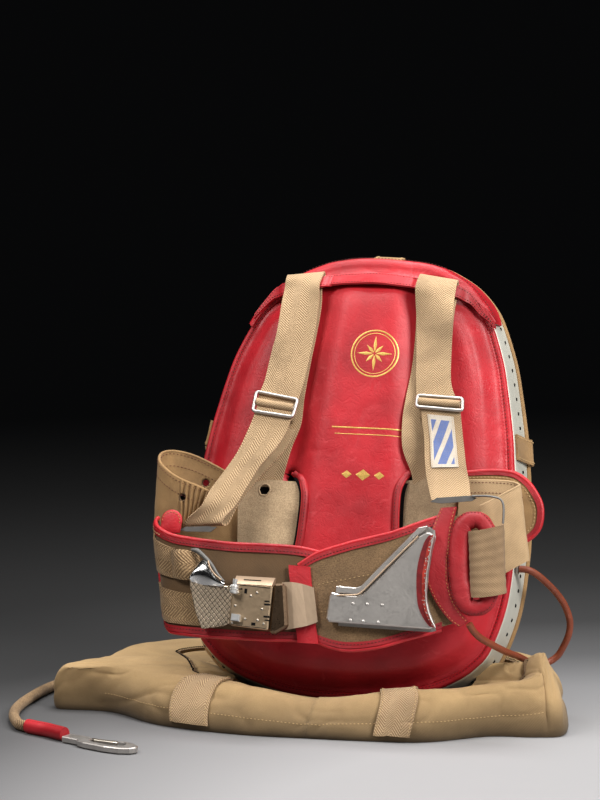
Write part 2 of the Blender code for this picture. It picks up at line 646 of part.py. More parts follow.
def build_wraps(pack):
    """Webbing keepers round the left end of the belt, and the round leather tab inside it."""
    offset = -(BELT / 2 + GAP + WEBBING / 2 + 0.3)
    upper = patch_grid(BELT_LEFT_ROWS, 0.1, 3.1, 12, 0.10, 0.44, 2)
    lower = patch_grid(BELT_LEFT_ROWS, 0.3, 3.9, 12, 0.58, 0.93, 2)
    bulge = patch_grid(BELT_LEFT_ROWS, 3.25, 4.1, 7, 0.12, 0.40, 2)
    swell = np.array([0, 3, 6.5, 8, 6.5, 3, 0])[:, None, None] * np.array([0, 1, 0])
    sheet("wrap_l_upper", upper, WEBBING, "tan_webbing", pack, offset)
    sheet("wrap_l_lower", lower, WEBBING, "tan_webbing", pack, offset)
    sheet("webbing_l", bulge - swell, WEBBING, "tan_webbing", pack, offset)
    tab = [(-192 + 12.5 * math.cos(a), 194 + 12.5 * math.sin(a))
           for a in np.linspace(-0.2, math.pi + 0.2, 12)] + [(-204, 180), (-181, 180)]
    slab("tab_l", tab, -79.5, -77.1, "red_leather", pack, bevel=0.5)


# ---------------------------------------------------------------- release ring

RING_CENTRE = (161.5, -84.6, 164.0)
RING_ACROSS = 20.5
RING_ALONG = 49.0
RING_PAD = 9.0
RING_PAD_DEPTH = 8.0
RING_TILT = 6.0

RING_STRIP_ROWS = [
    (119, -81.5, 224, 133, -83.5, 226), (112, -84.2, 202, 127.8, -84.2, 204),
    (108, -87.6, 176, 126.6, -85.6, 176), (107, -89, 160, 126.3, -86, 160),
    (111, -88, 140, 129.6, -85.6, 142),
    (123, -85.4, 118, 139, -84.5, 122),
    (139, -84, 100, 151, -83.5, 108), (150, -83.5, 93, 160, -83.5, 101)]


def ring_path(turn):
    """Centre line of the padded ring at an angle (radians), tilted in the front plane."""
    across, along = np.cos(turn), np.sin(turn)
    x = RING_ACROSS * np.sign(across) * np.abs(across) ** 0.7
    z = RING_ALONG * np.sign(along) * np.abs(along) ** 0.85
    tilt = math.radians(RING_TILT)
    return np.stack([RING_CENTRE[0] + x * math.cos(tilt) - z * math.sin(tilt),
                     np.full_like(x, RING_CENTRE[1]),
                     RING_CENTRE[2] + z * math.cos(tilt) + x * math.sin(tilt)], -1)


def build_ring(pack):
    """The padded leather ring, its stitched strip and the webbing loop round its right arm."""
    count, sides = 22, 8
    turns = np.linspace(0, 2 * math.pi, count, endpoint=False) + 0.07
    centre = ring_path(turns)
    ahead = ring_path(turns + 0.01) - ring_path(turns - 0.01)
    ahead /= np.linalg.norm(ahead, axis=1, keepdims=True)
    outward = np.cross(ahead, (0, 1, 0))
    rings = []
    for turn in np.linspace(0, 2 * math.pi, sides, endpoint=False):
        rings.append(centre + outward * RING_PAD * math.cos(turn)
                     + np.array([0, 1, 0]) * RING_PAD_DEPTH * math.sin(turn))
    ringed_solid("ring_pad", rings, None, "red_leather", pack)
    sheet("ring_strip", band_grid(RING_STRIP_ROWS, 2, 2), LEATHER, "red_leather", pack)
    rows = []
    for turn in np.linspace(0, 2 * math.pi, 20, endpoint=False):
        wide, deep = math.cos(turn), math.sin(turn)
        wide = math.copysign(abs(wide) ** 0.6, wide)
        deep = math.copysign(abs(deep) ** 0.6, deep)
        y = RING_CENTRE[1] + 12.6 * deep
        rows.append((172 + 18.3 * wide, y, 205 + 4.5 * wide, 180 + 18.3 * wide, y, 131 + 3 * wide))
    sheet("ring_loop", band_grid(rows, 1, 2, closed=True), WEBBING, "tan_webbing", pack, closed=True)
    plate = [(105, 231), (112, 236), (150, 240.5), (157, 238), (152, 234.5), (118, 230)]
    slab("strap_plate_r", plate, -76.1, -74.6, "bright_steel", pack)
    tube("link_r", [(152, -78, 239.5), (168, -79, 240.5), (181, -80.5, 239), (187, -81, 235),
                    (189.5, -82, 226), (190, -83, 210.3)], 1.3, "bright_steel", pack, resolution=1, steps=2)
    plate = [(-184, 184), (-176, 188.2), (-150, 190.4), (-139, 190), (-146, 184), (-174, 183)]
    slab("strap_plate_l", plate, -74.3, -72.7, "bright_steel", pack)


# ---------------------------------------------------------------- buckle

BUCKLE_LEFT, BUCKLE_RIGHT = -103.0, -57.0
BUCKLE_LOW, BUCKLE_HIGH = 77.0, 123.0
BUCKLE_FRONT, BUCKLE_BACK = -115.0, -99.5
FLAP_HINGE = (-105.2, -106.5, 100.0)


def build_buckle(pack):
    """Steel quick-release box with its chrome end strip, tongue, leather keeper and screw."""
    box = [(BUCKLE_LEFT, BUCKLE_LOW), (BUCKLE_RIGHT - 1, BUCKLE_LOW - 3), (BUCKLE_RIGHT, BUCKLE_HIGH),
           (BUCKLE_LEFT, BUCKLE_HIGH + 1)]
    slab("buckle_box", box, BUCKLE_FRONT, BUCKLE_BACK, "bright_steel", pack, bevel=1.2)
    end = [(BUCKLE_RIGHT + 0.5, BUCKLE_HIGH + 3), (BUCKLE_RIGHT + 13, BUCKLE_HIGH + 4),
           (BUCKLE_RIGHT + 20, BUCKLE_LOW + 2), (BUCKLE_RIGHT + 7, BUCKLE_LOW - 6),
           (BUCKLE_RIGHT - 0.4, BUCKLE_LOW - 6)]
    slab("buckle_end", end, BUCKLE_FRONT + 1.5, BUCKLE_BACK - 2, "bright_steel", pack, bevel=2.5)
    rows = [(-50, -100.4, 129, -44, -100.4, 76), (-40, -99.8, 130, -32, -99.8, 79),
            (-28, -96.4, 129, -18, -96.6, 83), (-15, -94.6, 126, -7, -95.1, 88)]
    sheet("buckle_tongue", band_grid(rows, 2, 2), 1.6, "bright_steel", pack)
    rows = [(-47, -90.2, 150, -22, -91.4, 149), (-45, -90.2, 138, -20, -91.6, 138),
            (-40, -90.2, 118, -16, -92, 118), (-36, -90.2, 98, -12, -92.4, 98),
            (-33, -90.2, 82, -9, -92.6, 82), (-30, -90.2, 70, -6, -92.8, 70),
            (-29, -90.2, 64, -5, -92.8, 64)]
    sheet("buckle_keeper", band_grid(rows, 1, 2), 2.4, "red_leather", pack)


def hinge_frame(name, pack, point, tilt=0.0):
    """An empty at a hinge point of the pack; its z axis is the hinge axis."""
    turn = Matrix.Rotation(math.radians(tilt), 4, "Y")
    return frame_empty(name, Matrix.Translation(Vector(point) * MM) @ turn, pack)


def build_buckle_flap(pack):
    """Knurled release flap with its chrome horn, hinged on the left side of the buckle."""
    hinge = hinge_frame("flap_hinge", pack, FLAP_HINGE)
    plate = [(-50.3, 25), (-49.3, 19), (-40.3, -10), (-31.3, -29), (-6, -24), (1.5, -20), (1.5, 20),
             (-13.3, 21)]
    slab("buckle_flap", plate, -1.5, 1.5, "bright_steel", hinge, bevel=1.0)
    rows = [(-49.3, -2.6, 23, -48.3, -5, 46), (-38.3, -2.6, 21, -34.3, -8, 50),
            (-28.3, -2.6, 19.5, -19.3, -8, 40), (-18.3, -2.6, 18.5, -12.3, -6, 28),
            (-12.3, -2.6, 18, -9.3, -4, 22)]
    sheet("buckle_horn", band_grid(rows, 2, 3), 1.6, "bright_steel", hinge)


# ---------------------------------------------------------------- opening lever

LEVER_HINGE = (9.5, -99.5, 106.0)
# Outline of the lever as x from its hinge and height over its hinge point
LEVER_OUTLINE = [
    (-2, 15.5), (-3.5, 10), (-5, -14), (-2, -17.5), (60, -18), (112, -18.5), (117.5, -15),
    (110, 0), (104.5, 18), (103, 38), (105, 58), (108.5, 77), (109, 84), (104, 87.5), (100, 87),
    (92, 82), (55, 38), (34, 15), (28, 12.5), (16, 12)]
BASE_OUTLINE = [
    (16.5, 126.5), (16.5, 85.5), (60, 85), (122, 85), (128, 90), (129, 112), (124, 190), (120, 199),
    (110, 201), (100, 196), (62, 152), (42, 129), (36, 126.5)]


def build_lever(pack):
    """Boot-shaped aluminium opening lever, hinged at its narrow left end over a base plate."""
    slab("lever_base", BASE_OUTLINE, -95.0, -93.6, "bright_steel", pack, bevel=0.4)
    flange = [(12, 121), (36, 120.5), (42, 123), (62, 146), (100, 190), (107, 195.5), (110, 201),
              (100, 198.5), (60, 153), (41, 130.5), (35, 128), (12, 128.5)]
    slab("lever_flange", flange, -103.5, -95.3, "bright_steel", pack, bevel=1.0)
    hinge = hinge_frame("lever_hinge", pack, LEVER_HINGE)
    slab("lever", LEVER_OUTLINE, -5.5, 3.9, "bright_steel", hinge, bevel=1.4)


# ---------------------------------------------------------------- carrying bag (world frame)

# One row round the bag: foot x, y on the floor; crest x, y, z; mouth edge x, y, z; fullness
BAG_ROWS = [
    (-28, -86, -23, -58, 37, -22, -36, 31, 1.0), (50, -80, 52, -48, 48, 50, -28, 40, 1.0),
    (106, -68, 110, -42, 53, 106, -20, 44, 1.0), (164, -26, 170, -14, 55, 160, -2, 46, 0.8),
    (216, -16, 214, 4, 62, 192, 12, 52, 0.5), (244, 0, 216, 34, 84, 196, 34, 74, 0.1),
    (240, 52, 216, 64, 56, 194, 60, 47, 0.3), (222, 112, 210, 112, 46, 186, 102, 40, 0.5),
    (196, 178, 184, 172, 46, 164, 160, 40, 1.0), (128, 226, 124, 214, 46, 120, 196, 40, 1.0),
    (20, 236, 20, 224, 42, 18, 206, 36, 1.0), (-104, 226, -104, 214, 46, -100, 198, 38, 1.0),
    (-190, 204, -186, 192, 48, -178, 174, 38, 1.0), (-250, 174, -244, 164, 48, -222, 138, 42, 1.0),
    (-300, 124, -290, 118, 48, -238, 112, 42, 1.0), (-328, 66, -310, 58, 46, -224, 96, 42, 1.0),
    (-344, 10, -328, 4, 50, -210, 74, 43, 0.8), (-342, -22, -330, -26, 51, -196, 46, 44, 0.8),
    (-278, -22, -268, -18, 52, -188, 22, 45, 1.0), (-206, -68, -200, -42, 50, -176, 0, 44, 1.0),
    (-112, -88, -108, -58, 47, -104, -34, 40, 1.0)]
BAG_CENTRE = (-40.0, 66.0)
BAG_AROUND = 3


def bag_section(row, samples):
    """Points up the bag's wall at one row: out from the foot, up to the crest, in to the mouth."""
    foot = np.array([row[0], row[1], BAG_CLOTH / 2])
    crest = np.array(row[2:5])
    mouth = np.array(row[5:8])
    out = foot[:2] - BAG_CENTRE
    out = np.append(out / np.linalg.norm(out), 0)
    rise = crest[2]
    full = row[8]
    wall = [foot, foot + out * 9 * full + (0, 0, rise * 0.42),
            crest + out * 13 * full + (0, 0, -rise * 0.08), crest]
    roll = [crest, crest - out * 7 + (0, 0, 1.5), mouth + out * 4 + (0, 0, 6), mouth]
    points = []
    for share in samples:
        a, b, c, d = wall if share <= 1 else roll
        t = share if share <= 1 else share - 1
        points.append(a * (1 - t) ** 3 + 3 * b * t * (1 - t) ** 2 + 3 * c * t * t * (1 - t) + d * t ** 3)
    return points


def bag_grid(first, last, count, samples):
    """Grid of the bag's outer cloth between two row numbers."""
    around = np.linspace(first, last, count)
    rows = at_rows(BAG_ROWS, around % len(BAG_ROWS), closed=True)
    return np.array([bag_section(row, samples) for row in rows])


def build_bag():
    """The collapsed canvas bag: a flat base that stands on the floor and a rolled wall."""
    rows = smooth_rows(BAG_ROWS, BAG_AROUND, closed=True)
    samples = [0.0, 0.1, 0.28, 0.5, 0.75, 1.0, 1.3, 1.65, 2.0]
    wall = np.array([bag_section(row, samples) for row in rows])
    normal = grid_normals(wall, closed=True)
    normal[:, 0] = (0, 0, -1)
    outer = wall + normal * BAG_CLOTH / 2
    outer[:, 0, 2] = 0.0
    outer[..., 2] = np.maximum(outer[..., 2], 0.0)
    inner = wall - normal * BAG_CLOTH / 2
    inner[:, 0, 2] = BAG_CLOTH
    inner[:, 0, :2] += (np.asarray(BAG_CENTRE) - inner[:, 0, :2]) * 0.02
    inner[..., 2] = np.maximum(inner[..., 2], BAG_CLOTH)
    centre = np.array([*BAG_CENTRE, 0.0])
    lift = np.array([0, 0, BAG_CLOTH])
    rings = [centre + (outer[:, 0] - centre) * 0.5]
    rings += [outer[:, k] for k in range(len(samples))]
    rings += [inner[:, k] for k in range(len(samples) - 1, -1, -1)]
    rings.append(centre + lift + (inner[:, 0] - centre - lift) * 0.5)
    tips = [centre, centre + lift]
    ringed_solid("bag", rings, tips, "tan_canvas", None)
    offset = BAG_CLOTH / 2 + 2 * GAP + WEBBING / 2
    samples = np.linspace(0.1, 1.75, 12)
    for name, first, last in (("bag_band_l", 19.22, 19.7), ("bag_band_r", 0.93, 1.6)):
        sheet(name, bag_grid(first, last, 4, samples), WEBBING, "tan_webbing", None, offset)


# ---------------------------------------------------------------- cords (free pieces)

# Ripcord hose in the pack's frame, from the ring strip's foot round to the rim's right side
HOSE_POINTS = [
    (161, -84.6, 97.5), (165.5, -78.5, 90), (172, -68, 84), (180, -50, 80), (187, -26, 77), (193, 0, 75),
    (199, 24, 74), (206, 48, 71), (214, 66, 70), (224, 77, 74), (234, 79, 82), (241, 76, 94),
    (246, 71, 105), (248, 66, 116), (247, 60, 126), (242, 50, 139), (234, 39, 150), (226, 28, 158),
    (216, 15, 166), (206, 7, 170.6), (195.9, 6, 171)]
# Static line on the floor, from behind the pack round the bag's left end (world frame)
LINE_POINTS = [
    (-94.5, 140.1, 110.2), (-103, 164, 100), (-108, 181, 86), (-114, 201, 70), (-121, 221, 59),
    (-130, 237, 46), (-141, 248, 29), (-155, 254, 14), (-176, 254, 7), (-204, 248, 6.3),
    (-232, 236, 6.3), (-260, 220, 6.3), (-287, 201, 6.3), (-312, 179, 6.3), (-334, 155, 6.3),
    (-353, 128, 6.3), (-368, 98, 6.3), (-378, 66, 6.3), (-383, 32, 6.3), (-384, -2, 6.3),
    (-383, -34, 6.3), (-379, -64, 6.3), (-371, -91, 6.3), (-361, -112, 6.3), (-350, -130, 6.3),
    (-337.5, -138.6, 6.8)]
SLEEVE_POINTS = [(-335.9, -139.5, 7.3), (-322, -146.3, 7.5), (-308, -152, 7.5), (-294, -160, 7.5),
                 (-283, -166, 7.5)]
HOOK_START = (-281.3, -166.9, 3.8)
HOOK_TURN = -19.0
GATE_HINGE = (31.6, 7.6, 0.0)


def build_cords(pack):
    """Ripcord hose, static line with its leather sleeve, and the two places they come out of."""
    tube("ripcord_hose", HOSE_POINTS, HOSE_RADIUS, "brown_leather", pack, steps=1)
    collar = [(195.2, 6, 171), (192.6, 6, 171)]
    tube("hose_ferrule", collar, HOSE_RADIUS + 2.2, "bright_steel", pack, steps=1)
    tube("static_line", LINE_POINTS, LINE_RADIUS, "tan_webbing", steps=1)
    points = np.array(SLEEVE_POINTS)
    ahead = np.gradient(points, axis=0)
    side = np.cross(ahead, (0, 0, 1))
    side /= np.linalg.norm(side, axis=1, keepdims=True)
    rings = []
    for turn in np.linspace(0, 2 * math.pi, 12, endpoint=False):
        rings.append(points + side * 8.2 * math.cos(turn) + np.array([0, 0, 1]) * 7.0 * math.sin(turn))
    rings = np.array(rings).transpose(1, 0, 2)
    ringed_solid("line_sleeve", list(rings), [points[0], points[-1]], "red_leather", None)


def build_hook():
    """Aluminium snap hook on the static line: ferrule, hook and sprung gate."""
    turn = Matrix.Rotation(math.radians(HOOK_TURN), 4, "Z")
    place = frame_empty("hook_frame", Matrix.Translation(Vector(HOOK_START) * MM) @ turn)
    outline = [(0, -8), (22, -9), (26, -13), (36, -16), (66, -17.5), (84, -15), (95, -9), (99, -2),
               (96, 5), (88, 10), (76, 12.5), (66, 12.5), (65, 9.5), (74, 8), (80, 4), (81.5, -2),
               (77, -6.5), (66, -8.5), (42, -7.5), (36, -4), (34, 4), (28, 8.5), (0, 8)]
    hook = slab("hook_body", outline, -3.4, 3.4, "bright_steel", place, bevel=1.0)
    hook.rotation_euler = (math.radians(-90), 0, 0)
    hinge = frame_empty("gate_hinge", Matrix.Translation(Vector(GATE_HINGE) * MM), place)
    outline = [(-2.2, 0.9), (3.5, -2.8), (28, 0), (32.7, 1.4), (32.7, 4.6), (26, 7.2), (22, 4.4),
               (4, 2.6), (-1.5, 3.2)]
    gate = slab("hook_gate", outline, -2.0, 2.0, "bright_steel", hinge, bevel=0.6)
    gate.rotation_euler = (math.radians(-90), 0, 0)


def main():
    clear_scene()
    lean = Matrix.Rotation(math.radians(-PACK_LEAN), 4, "X")
    roll = Matrix.Rotation(math.radians(PACK_ROLL), 4, "Y")
    pack = frame_empty("pack_frame", Matrix.Translation(Vector(PACK_FOOT) * MM) @ roll @ lean)
    build_rim(pack)
    build_front(pack)
    build_back(pack)
    build_yoke(pack)
    build_yoke_band(pack)
    build_top_tab(pack)
    build_back_band(pack)
    build_straps(pack)
    build_slides(pack)
    build_label(pack)
    build_belt(pack)
    build_wings(pack)
    build_wraps(pack)
    build_ring(pack)
    build_buckle(pack)
    build_buckle_flap(pack)
    build_lever(pack)
    build_bag()
    build_cords(pack)
    build_hook()


main()
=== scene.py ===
"""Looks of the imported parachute: fine cloth, leather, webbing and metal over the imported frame.

Tables are in millimetres. Pieces of the pack are laid out in the pack's own frame (x to the
right, y to the back, z up along the pack), and the bag and the static line in the world.
"""
import math

import bpy
import bmesh
import numpy as np
from mathutils import Matrix, Vector


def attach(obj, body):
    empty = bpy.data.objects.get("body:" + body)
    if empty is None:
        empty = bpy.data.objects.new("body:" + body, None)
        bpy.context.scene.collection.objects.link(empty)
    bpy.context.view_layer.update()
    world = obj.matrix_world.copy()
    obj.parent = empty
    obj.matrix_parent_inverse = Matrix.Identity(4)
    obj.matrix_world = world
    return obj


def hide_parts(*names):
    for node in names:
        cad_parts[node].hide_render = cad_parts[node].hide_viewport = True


MM = 0.001
GAP = 0.3

# Driving sizes (mm and degrees), the same as the solids'
PACK_HEIGHT = 518.0
PACK_LEAN = 17.0
PACK_ROLL = 0.6
PACK_FOOT = (-14.0, -4.0, 16.2)
PACK_CENTRE_Z = 245.0
RIM_DEPTH = 40.0
RIM_FLARE = 6.5
RIM_WALL = 3.0
RIM_LIP = 9.0
BACK_BULGE = 78.0
PANEL_BORDER = 4.0
WEBBING = 2.2
LEATHER = 2.4
BELT = 4.0
CANVAS = 2.4
BAG_CLOTH = 2.2
PIPING_RADIUS = 2.6
HOSE_RADIUS = 3.9
LINE_RADIUS = 6.0
SPINE_X = 6.0

# Outline of the rim: height along the pack, half width to the left, half width to the right
OUTLINE_ROWS = [
    (10, 0, 0), (13.5, 58, 58), (27, 109, 109), (41, 137, 137), (55, 155, 155), (76, 171, 171),
    (128, 186, 186), (190, 190, 190), (240, 188, 188), (294, 181, 182), (325, 175.5, 178),
    (375, 164, 168.5), (407, 154, 161), (446, 135.5, 147), (466, 122, 136.5), (487, 98, 118),
    (502, 74, 96), (513.5, 42, 66), (518, 0, 0)]

PACK = (Matrix.Translation(Vector(PACK_FOOT) * MM) @ Matrix.Rotation(math.radians(PACK_ROLL), 4, "Y")
        @ Matrix.Rotation(math.radians(-PACK_LEAN), 4, "X"))
PACK_TURN = np.array(PACK.to_3x3())
PACK_PLACE = np.array(PACK.translation)


# ---------------------------------------------------------------- curves and grids

def smooth_rows(rows, steps, closed=False):
    """Rows of numbers joined by a smooth curve through them, with steps points per span."""
    table = np.asarray(rows, float)
    count = len(table)
    spans = count if closed else count - 1
    place = np.linspace(0, spans, spans * steps + (0 if closed else 1), endpoint=not closed)
    low = np.minimum(place.astype(int), spans - 1)
    part = (place - low)[:, None]
    index = [low - 1, low, low + 1, low + 2]
    if closed:
        a, b, c, d = (table[i % count] for i in index)
    else:
        a, b, c, d = (table[np.clip(i, 0, count - 1)] for i in index)
    return 0.5 * (2 * b + (c - a) * part + (2 * a - 5 * b + 4 * c - d) * part ** 2
                  + (3 * b - a - 3 * c + d) * part ** 3)


def at_rows(rows, place, closed=False):
    """The smooth curve through the rows, read at the given row numbers (whole or between)."""
    fine = smooth_rows(rows, 24, closed)
    spot = np.asarray(place, float) * 24
    index = np.arange(len(fine) + 1)
    looped = np.vstack([fine, fine[:1] if closed else fine[-1:]])
    return np.stack([np.interp(spot, index, looped[:, k]) for k in range(fine.shape[1])], -1)


def band_grid(rows, steps, across, closed=False):
    """Grid between two edges; a row holds edge A's x, y, z and edge B's x, y, z."""
    fine = smooth_rows(rows, steps, closed)
    share = np.linspace(0, 1, across + 1)[None, :, None]
    return fine[:, None, :3] * (1 - share) + fine[:, None, 3:] * share


def patch_grid(rows, first, last, count, low, high, across):
    """Part of a band's grid: from row number first to last, and from low to high across it."""
    edges = at_rows(rows, np.linspace(first, last, count))
    share = np.linspace(low, high, across + 1)[None, :, None]
    return edges[:, None, :3] * (1 - share) + edges[:, None, 3:] * share


def grid_normals(grid, closed=False):
    """Unit normals of a grid of points, across its two directions."""
    along = np.roll(grid, -1, 0) - np.roll(grid, 1, 0) if closed else np.gradient(grid, axis=0)
    return unit(np.cross(along, np.gradient(grid, axis=1)))


def full_turn(count):
    """Angles (radians) of a number of even steps round a circle."""
    return np.linspace(0, 2 * math.pi, count, endpoint=False)


def unit(vectors):
    """Vectors divided by their lengths."""
    return vectors / np.maximum(np.linalg.norm(vectors, axis=-1, keepdims=True), 1e-9)


LATTICE = np.random.default_rng(11).random((97, 97)) * 2 - 1


def noise(u, v, size, seed=0):
    """Smooth noise from -1 to 1 with bumps of about the given size, in the units of u and v."""
    a = np.asarray(u, float) / size + seed * 7.31
    b = np.asarray(v, float) / size + seed * 3.17
    i, j = np.floor(a).astype(int), np.floor(b).astype(int)
    s, t = a - i, b - j
    s, t = s * s * (3 - 2 * s), t * t * (3 - 2 * t)
    corner = [[LATTICE[(i + p) % 97, (j + q) % 97] for q in (0, 1)] for p in (0, 1)]
    low = corner[0][0] * (1 - t) + corner[0][1] * t
    high = corner[1][0] * (1 - t) + corner[1][1] * t
    return low * (1 - s) + high * s


def crease(u, v, size, seed=0, sharp=0.12):
    """Narrow valleys from 0 to 1 that wander through smooth noise."""
    return np.exp(-(noise(u, v, size, seed) / sharp) ** 2)


def path_distance(x, z, path):
    """Distance from points to a line through a few points (x, z)."""
    nearest = np.full(np.shape(x), 1e9)
    for (ax, az), (bx, bz) in zip(path[:-1], path[1:]):
        dx, dz = bx - ax, bz - az
        part = np.clip(((x - ax) * dx + (z - az) * dz) / (dx * dx + dz * dz), 0, 1)
        nearest = np.minimum(nearest, np.hypot(x - ax - part * dx, z - az - part * dz))
    return nearest


def path_lengths(points):
    """Distance along a line of points, starting at 0."""
    steps = np.linalg.norm(np.diff(points, axis=0), axis=1)
    return np.concatenate([[0], np.cumsum(steps)])


# ---------------------------------------------------------------- meshes

def placed(points, in_pack=True):
    """Points in millimetres, in the pack's frame or the world, as world metres."""
    points = np.asarray(points, float) * MM
    return points @ PACK_TURN.T + PACK_PLACE if in_pack else points


def piece(name, points, faces, look, uv=None, body="pack", in_pack=True, node=None, fill=None):
    """One mesh object at the origin that rides on a body and may stand for a node; fill is not used."""
    mesh = bpy.data.meshes.new(name)
    mesh.from_pydata(placed(points, in_pack).tolist(), [], faces)
    if uv is not None:
        layer = mesh.uv_layers.new(name="UVMap")
        corner = np.empty(len(mesh.loops), np.int32)
        mesh.loops.foreach_get("vertex_index", corner)
        layer.data.foreach_set("uv", np.asarray(uv, float)[corner].ravel())
    edit = bmesh.new()
    edit.from_mesh(mesh)
    bmesh.ops.recalc_face_normals(edit, faces=edit.faces)
    edit.to_mesh(mesh)
    edit.free()
    mesh.shade_smooth()
    mesh.set_sharp_from_angle(angle=math.radians(50))
    obj = bpy.data.objects.new(name, mesh)
    bpy.context.scene.collection.objects.link(obj)
    mesh.materials.append(look.material)
    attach(obj, body)
    if node:
        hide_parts(node)
    return obj


def grid_cells(rows, columns):
    """Faces of a plain grid of points, row by row."""
    return [(columns * i + j, columns * i + j + 1, columns * (i + 1) + j + 1, columns * (i + 1) + j)
            for i in range(rows - 1) for j in range(columns - 1)]


def ring_faces(total, count, hoop=False):
    """Faces between rings of count points each; a hoop joins its last ring to its first."""
    pairs = [(r * count, (r + 1) % total * count) for r in range(total if hoop else total - 1)]
    return [(a + i, a + (i + 1) % count, b + (i + 1) % count, b + i) for a, b in pairs for i in range(count)]


def prism_faces(count):
    """Faces of a shape with two flat ends of count points each."""
    return [tuple(range(count)), tuple(range(2 * count - 1, count - 1, -1))] + ring_faces(2, count)


def sheet_faces(rows, columns, closed=False):
    """Faces of a sheet with two sides: side one's points first, then side two's."""
    side = rows * columns
    faces = []
    for i in range(rows if closed else rows - 1):
        a, b = i * columns, (i + 1) % rows * columns
        for j in range(columns - 1):
            faces.append((a + j, a + j + 1, b + j + 1, b + j))
            faces.append((side + a + j, side + b + j, side + b + j + 1, side + a + j + 1))
        for j in (0, columns - 1):
            faces.append((a + j, b + j, side + b + j, side + a + j))
    if not closed:
        faces += [(a, a + 1, side + a + 1, side + a)
                  for i in (0, rows - 1) for a in range(i * columns, i * columns + columns - 1)]
    return faces


def grid_uv(grid):
    """UV in metres: how far across a row and how far along the sheet each point lies."""
    middle = grid[:, grid.shape[1] // 2]
    along = path_lengths(middle)
    across = np.linalg.norm(np.diff(grid, axis=1), axis=2)
    across = np.concatenate([np.zeros((len(grid), 1)), np.cumsum(across, 1)], 1)
    across -= across[:, -1:] / 2
    return np.stack([across, np.broadcast_to(along[:, None], across.shape)], -1) * MM


def cloth(name, grid, thickness, look, node=None, offset=0.0, closed=False, relief=None, held="laid",
          rests_on=("front_panel",), slack=1.0, **ride):
    """A sheet along a fine grid; relief (mm, from u and v in mm) moves it along its normal.

    held and slack are not used."""
    normal = grid_normals(grid, closed)
    uv = grid_uv(grid)
    lift = relief(uv[..., 0] / MM, uv[..., 1] / MM) if relief else np.zeros(grid.shape[:2])
    near = grid + normal * (offset + thickness / 2 + lift)[..., None]
    far = grid + normal * (offset - thickness / 2 + lift * 0.7)[..., None]
    points = np.vstack([near.reshape(-1, 3), far.reshape(-1, 3)])
    faces = sheet_faces(*grid.shape[:2], closed)
    obj = piece(name, points, faces, look, np.vstack([uv.reshape(-1, 2)] * 2), node=node, **ride)
    return obj


def ring_mesh(name, rings, look, uv=None, hoop=False, **ride):
    """A surface through rings of points, closed with two flat caps unless it is a hoop."""
    count, total = len(rings[0]), len(rings)
    faces = ring_faces(total, count, hoop)
    if not hoop:
        faces += [tuple(range(count)), tuple(range((total - 1) * count, total * count))]
    return piece(name, np.vstack(rings), faces, look, uv, **ride)


def tube_rings(route, radius, sides, closed=False, flat=1.0):
    """Rings of points round a route; the radius may change along it, flat squeezes it."""
    route = np.asarray(route, float)
    ahead = unit(np.roll(route, -1, 0) - np.roll(route, 1, 0) if closed else np.gradient(route, axis=0))
    side = np.cross(ahead[0], (0, 1, 0) if abs(ahead[0][1]) < 0.9 else (1, 0, 0))
    rings = []
    turns = full_turn(sides)
    for point, forward, size in zip(route, ahead, np.broadcast_to(radius, len(route))):
        side = unit(side - forward * np.dot(side, forward))
        up = np.cross(forward, side)
        rings.append(point + size * (np.cos(turns)[:, None] * side + np.sin(turns)[:, None] * up * flat))
    return rings


def rod(name, route, radius, look, sides=12, closed=False, flat=1.0, **ride):
    """A round bar, cord or piping along a route in millimetres, with UV round and along it."""
    along = path_lengths(np.asarray(route, float)) * MM
    around = full_turn(sides) * float(np.mean(radius)) * MM
    uv = np.stack(np.meshgrid(around, along), -1).reshape(-1, 2)
    return ring_mesh(name, tube_rings(route, radius, sides, closed, flat), look, uv, closed, **ride)


def merged(name, parts, look, **ride):
    """Many small shapes (points, faces) joined into one object."""
    faces, start = [], 0
    for spots, cells in parts:
        faces += [tuple(start + i for i in cell) for cell in cells]
        start += len(spots)
    return piece(name, np.vstack([spots for spots, _ in parts]), faces, look, **ride)


def stitch_parts(run, pitch=3.6, length=2.5, radius=0.42):
    """Thread stitches along a run of (points, normals), each a small grain with two tips."""
    points = np.asarray(run[0], float)
    normals = np.broadcast_to(np.asarray(run[1], float), points.shape)
    far = path_lengths(points)
    turns = full_turn(5)
    cells = [(0, 1 + (i + 1) % 5, 1 + i) for i in range(5)]
    cells += [(1 + i, 1 + (i + 1) % 5, 6 + (i + 1) % 5, 6 + i) for i in range(5)]
    cells += [(11, 6 + i, 6 + (i + 1) % 5) for i in range(5)]

    def read(table, place):
        return np.array([np.interp(place, far, table[:, k]) for k in range(3)])
    parts = []
    for centre in np.arange(pitch * 0.6, far[-1] - pitch * 0.5, pitch):
        first, last = read(points, centre - length / 2), read(points, centre + length / 2)
        up = unit(read(normals, centre))
        side = np.cross(unit(last - first), up)
        ring = radius * (np.cos(turns)[:, None] * side + np.sin(turns)[:, None] * up)
        parts.append(([first - up * radius, *(first + (last - first) * 0.22 + ring),
                       *(first + (last - first) * 0.78 + ring), last - up * radius], cells))
    return parts


def stitches(name, runs, look, in_pack=True, **sizes):
    """One object of thread stitches along several runs."""
    merged(name, [part for run in runs for part in stitch_parts(run, **sizes)], look, in_pack=in_pack)


def sheet_run(grid, inset, side, offset, from_end=False, rows=slice(None)):
    """A run at an inset (mm) from one long edge of a grid; side 1 or -1 is the face it lies on."""
    edge, other = (grid[:, -1], grid[:, 0]) if from_end else (grid[:, 0], grid[:, -1])
    share = inset / np.linalg.norm(other - edge, axis=1, keepdims=True)
    up = grid_normals(grid)[:, -1 if from_end else 0] * side
    return (edge * (1 - share) + other * share + up * offset)[rows], up[rows]


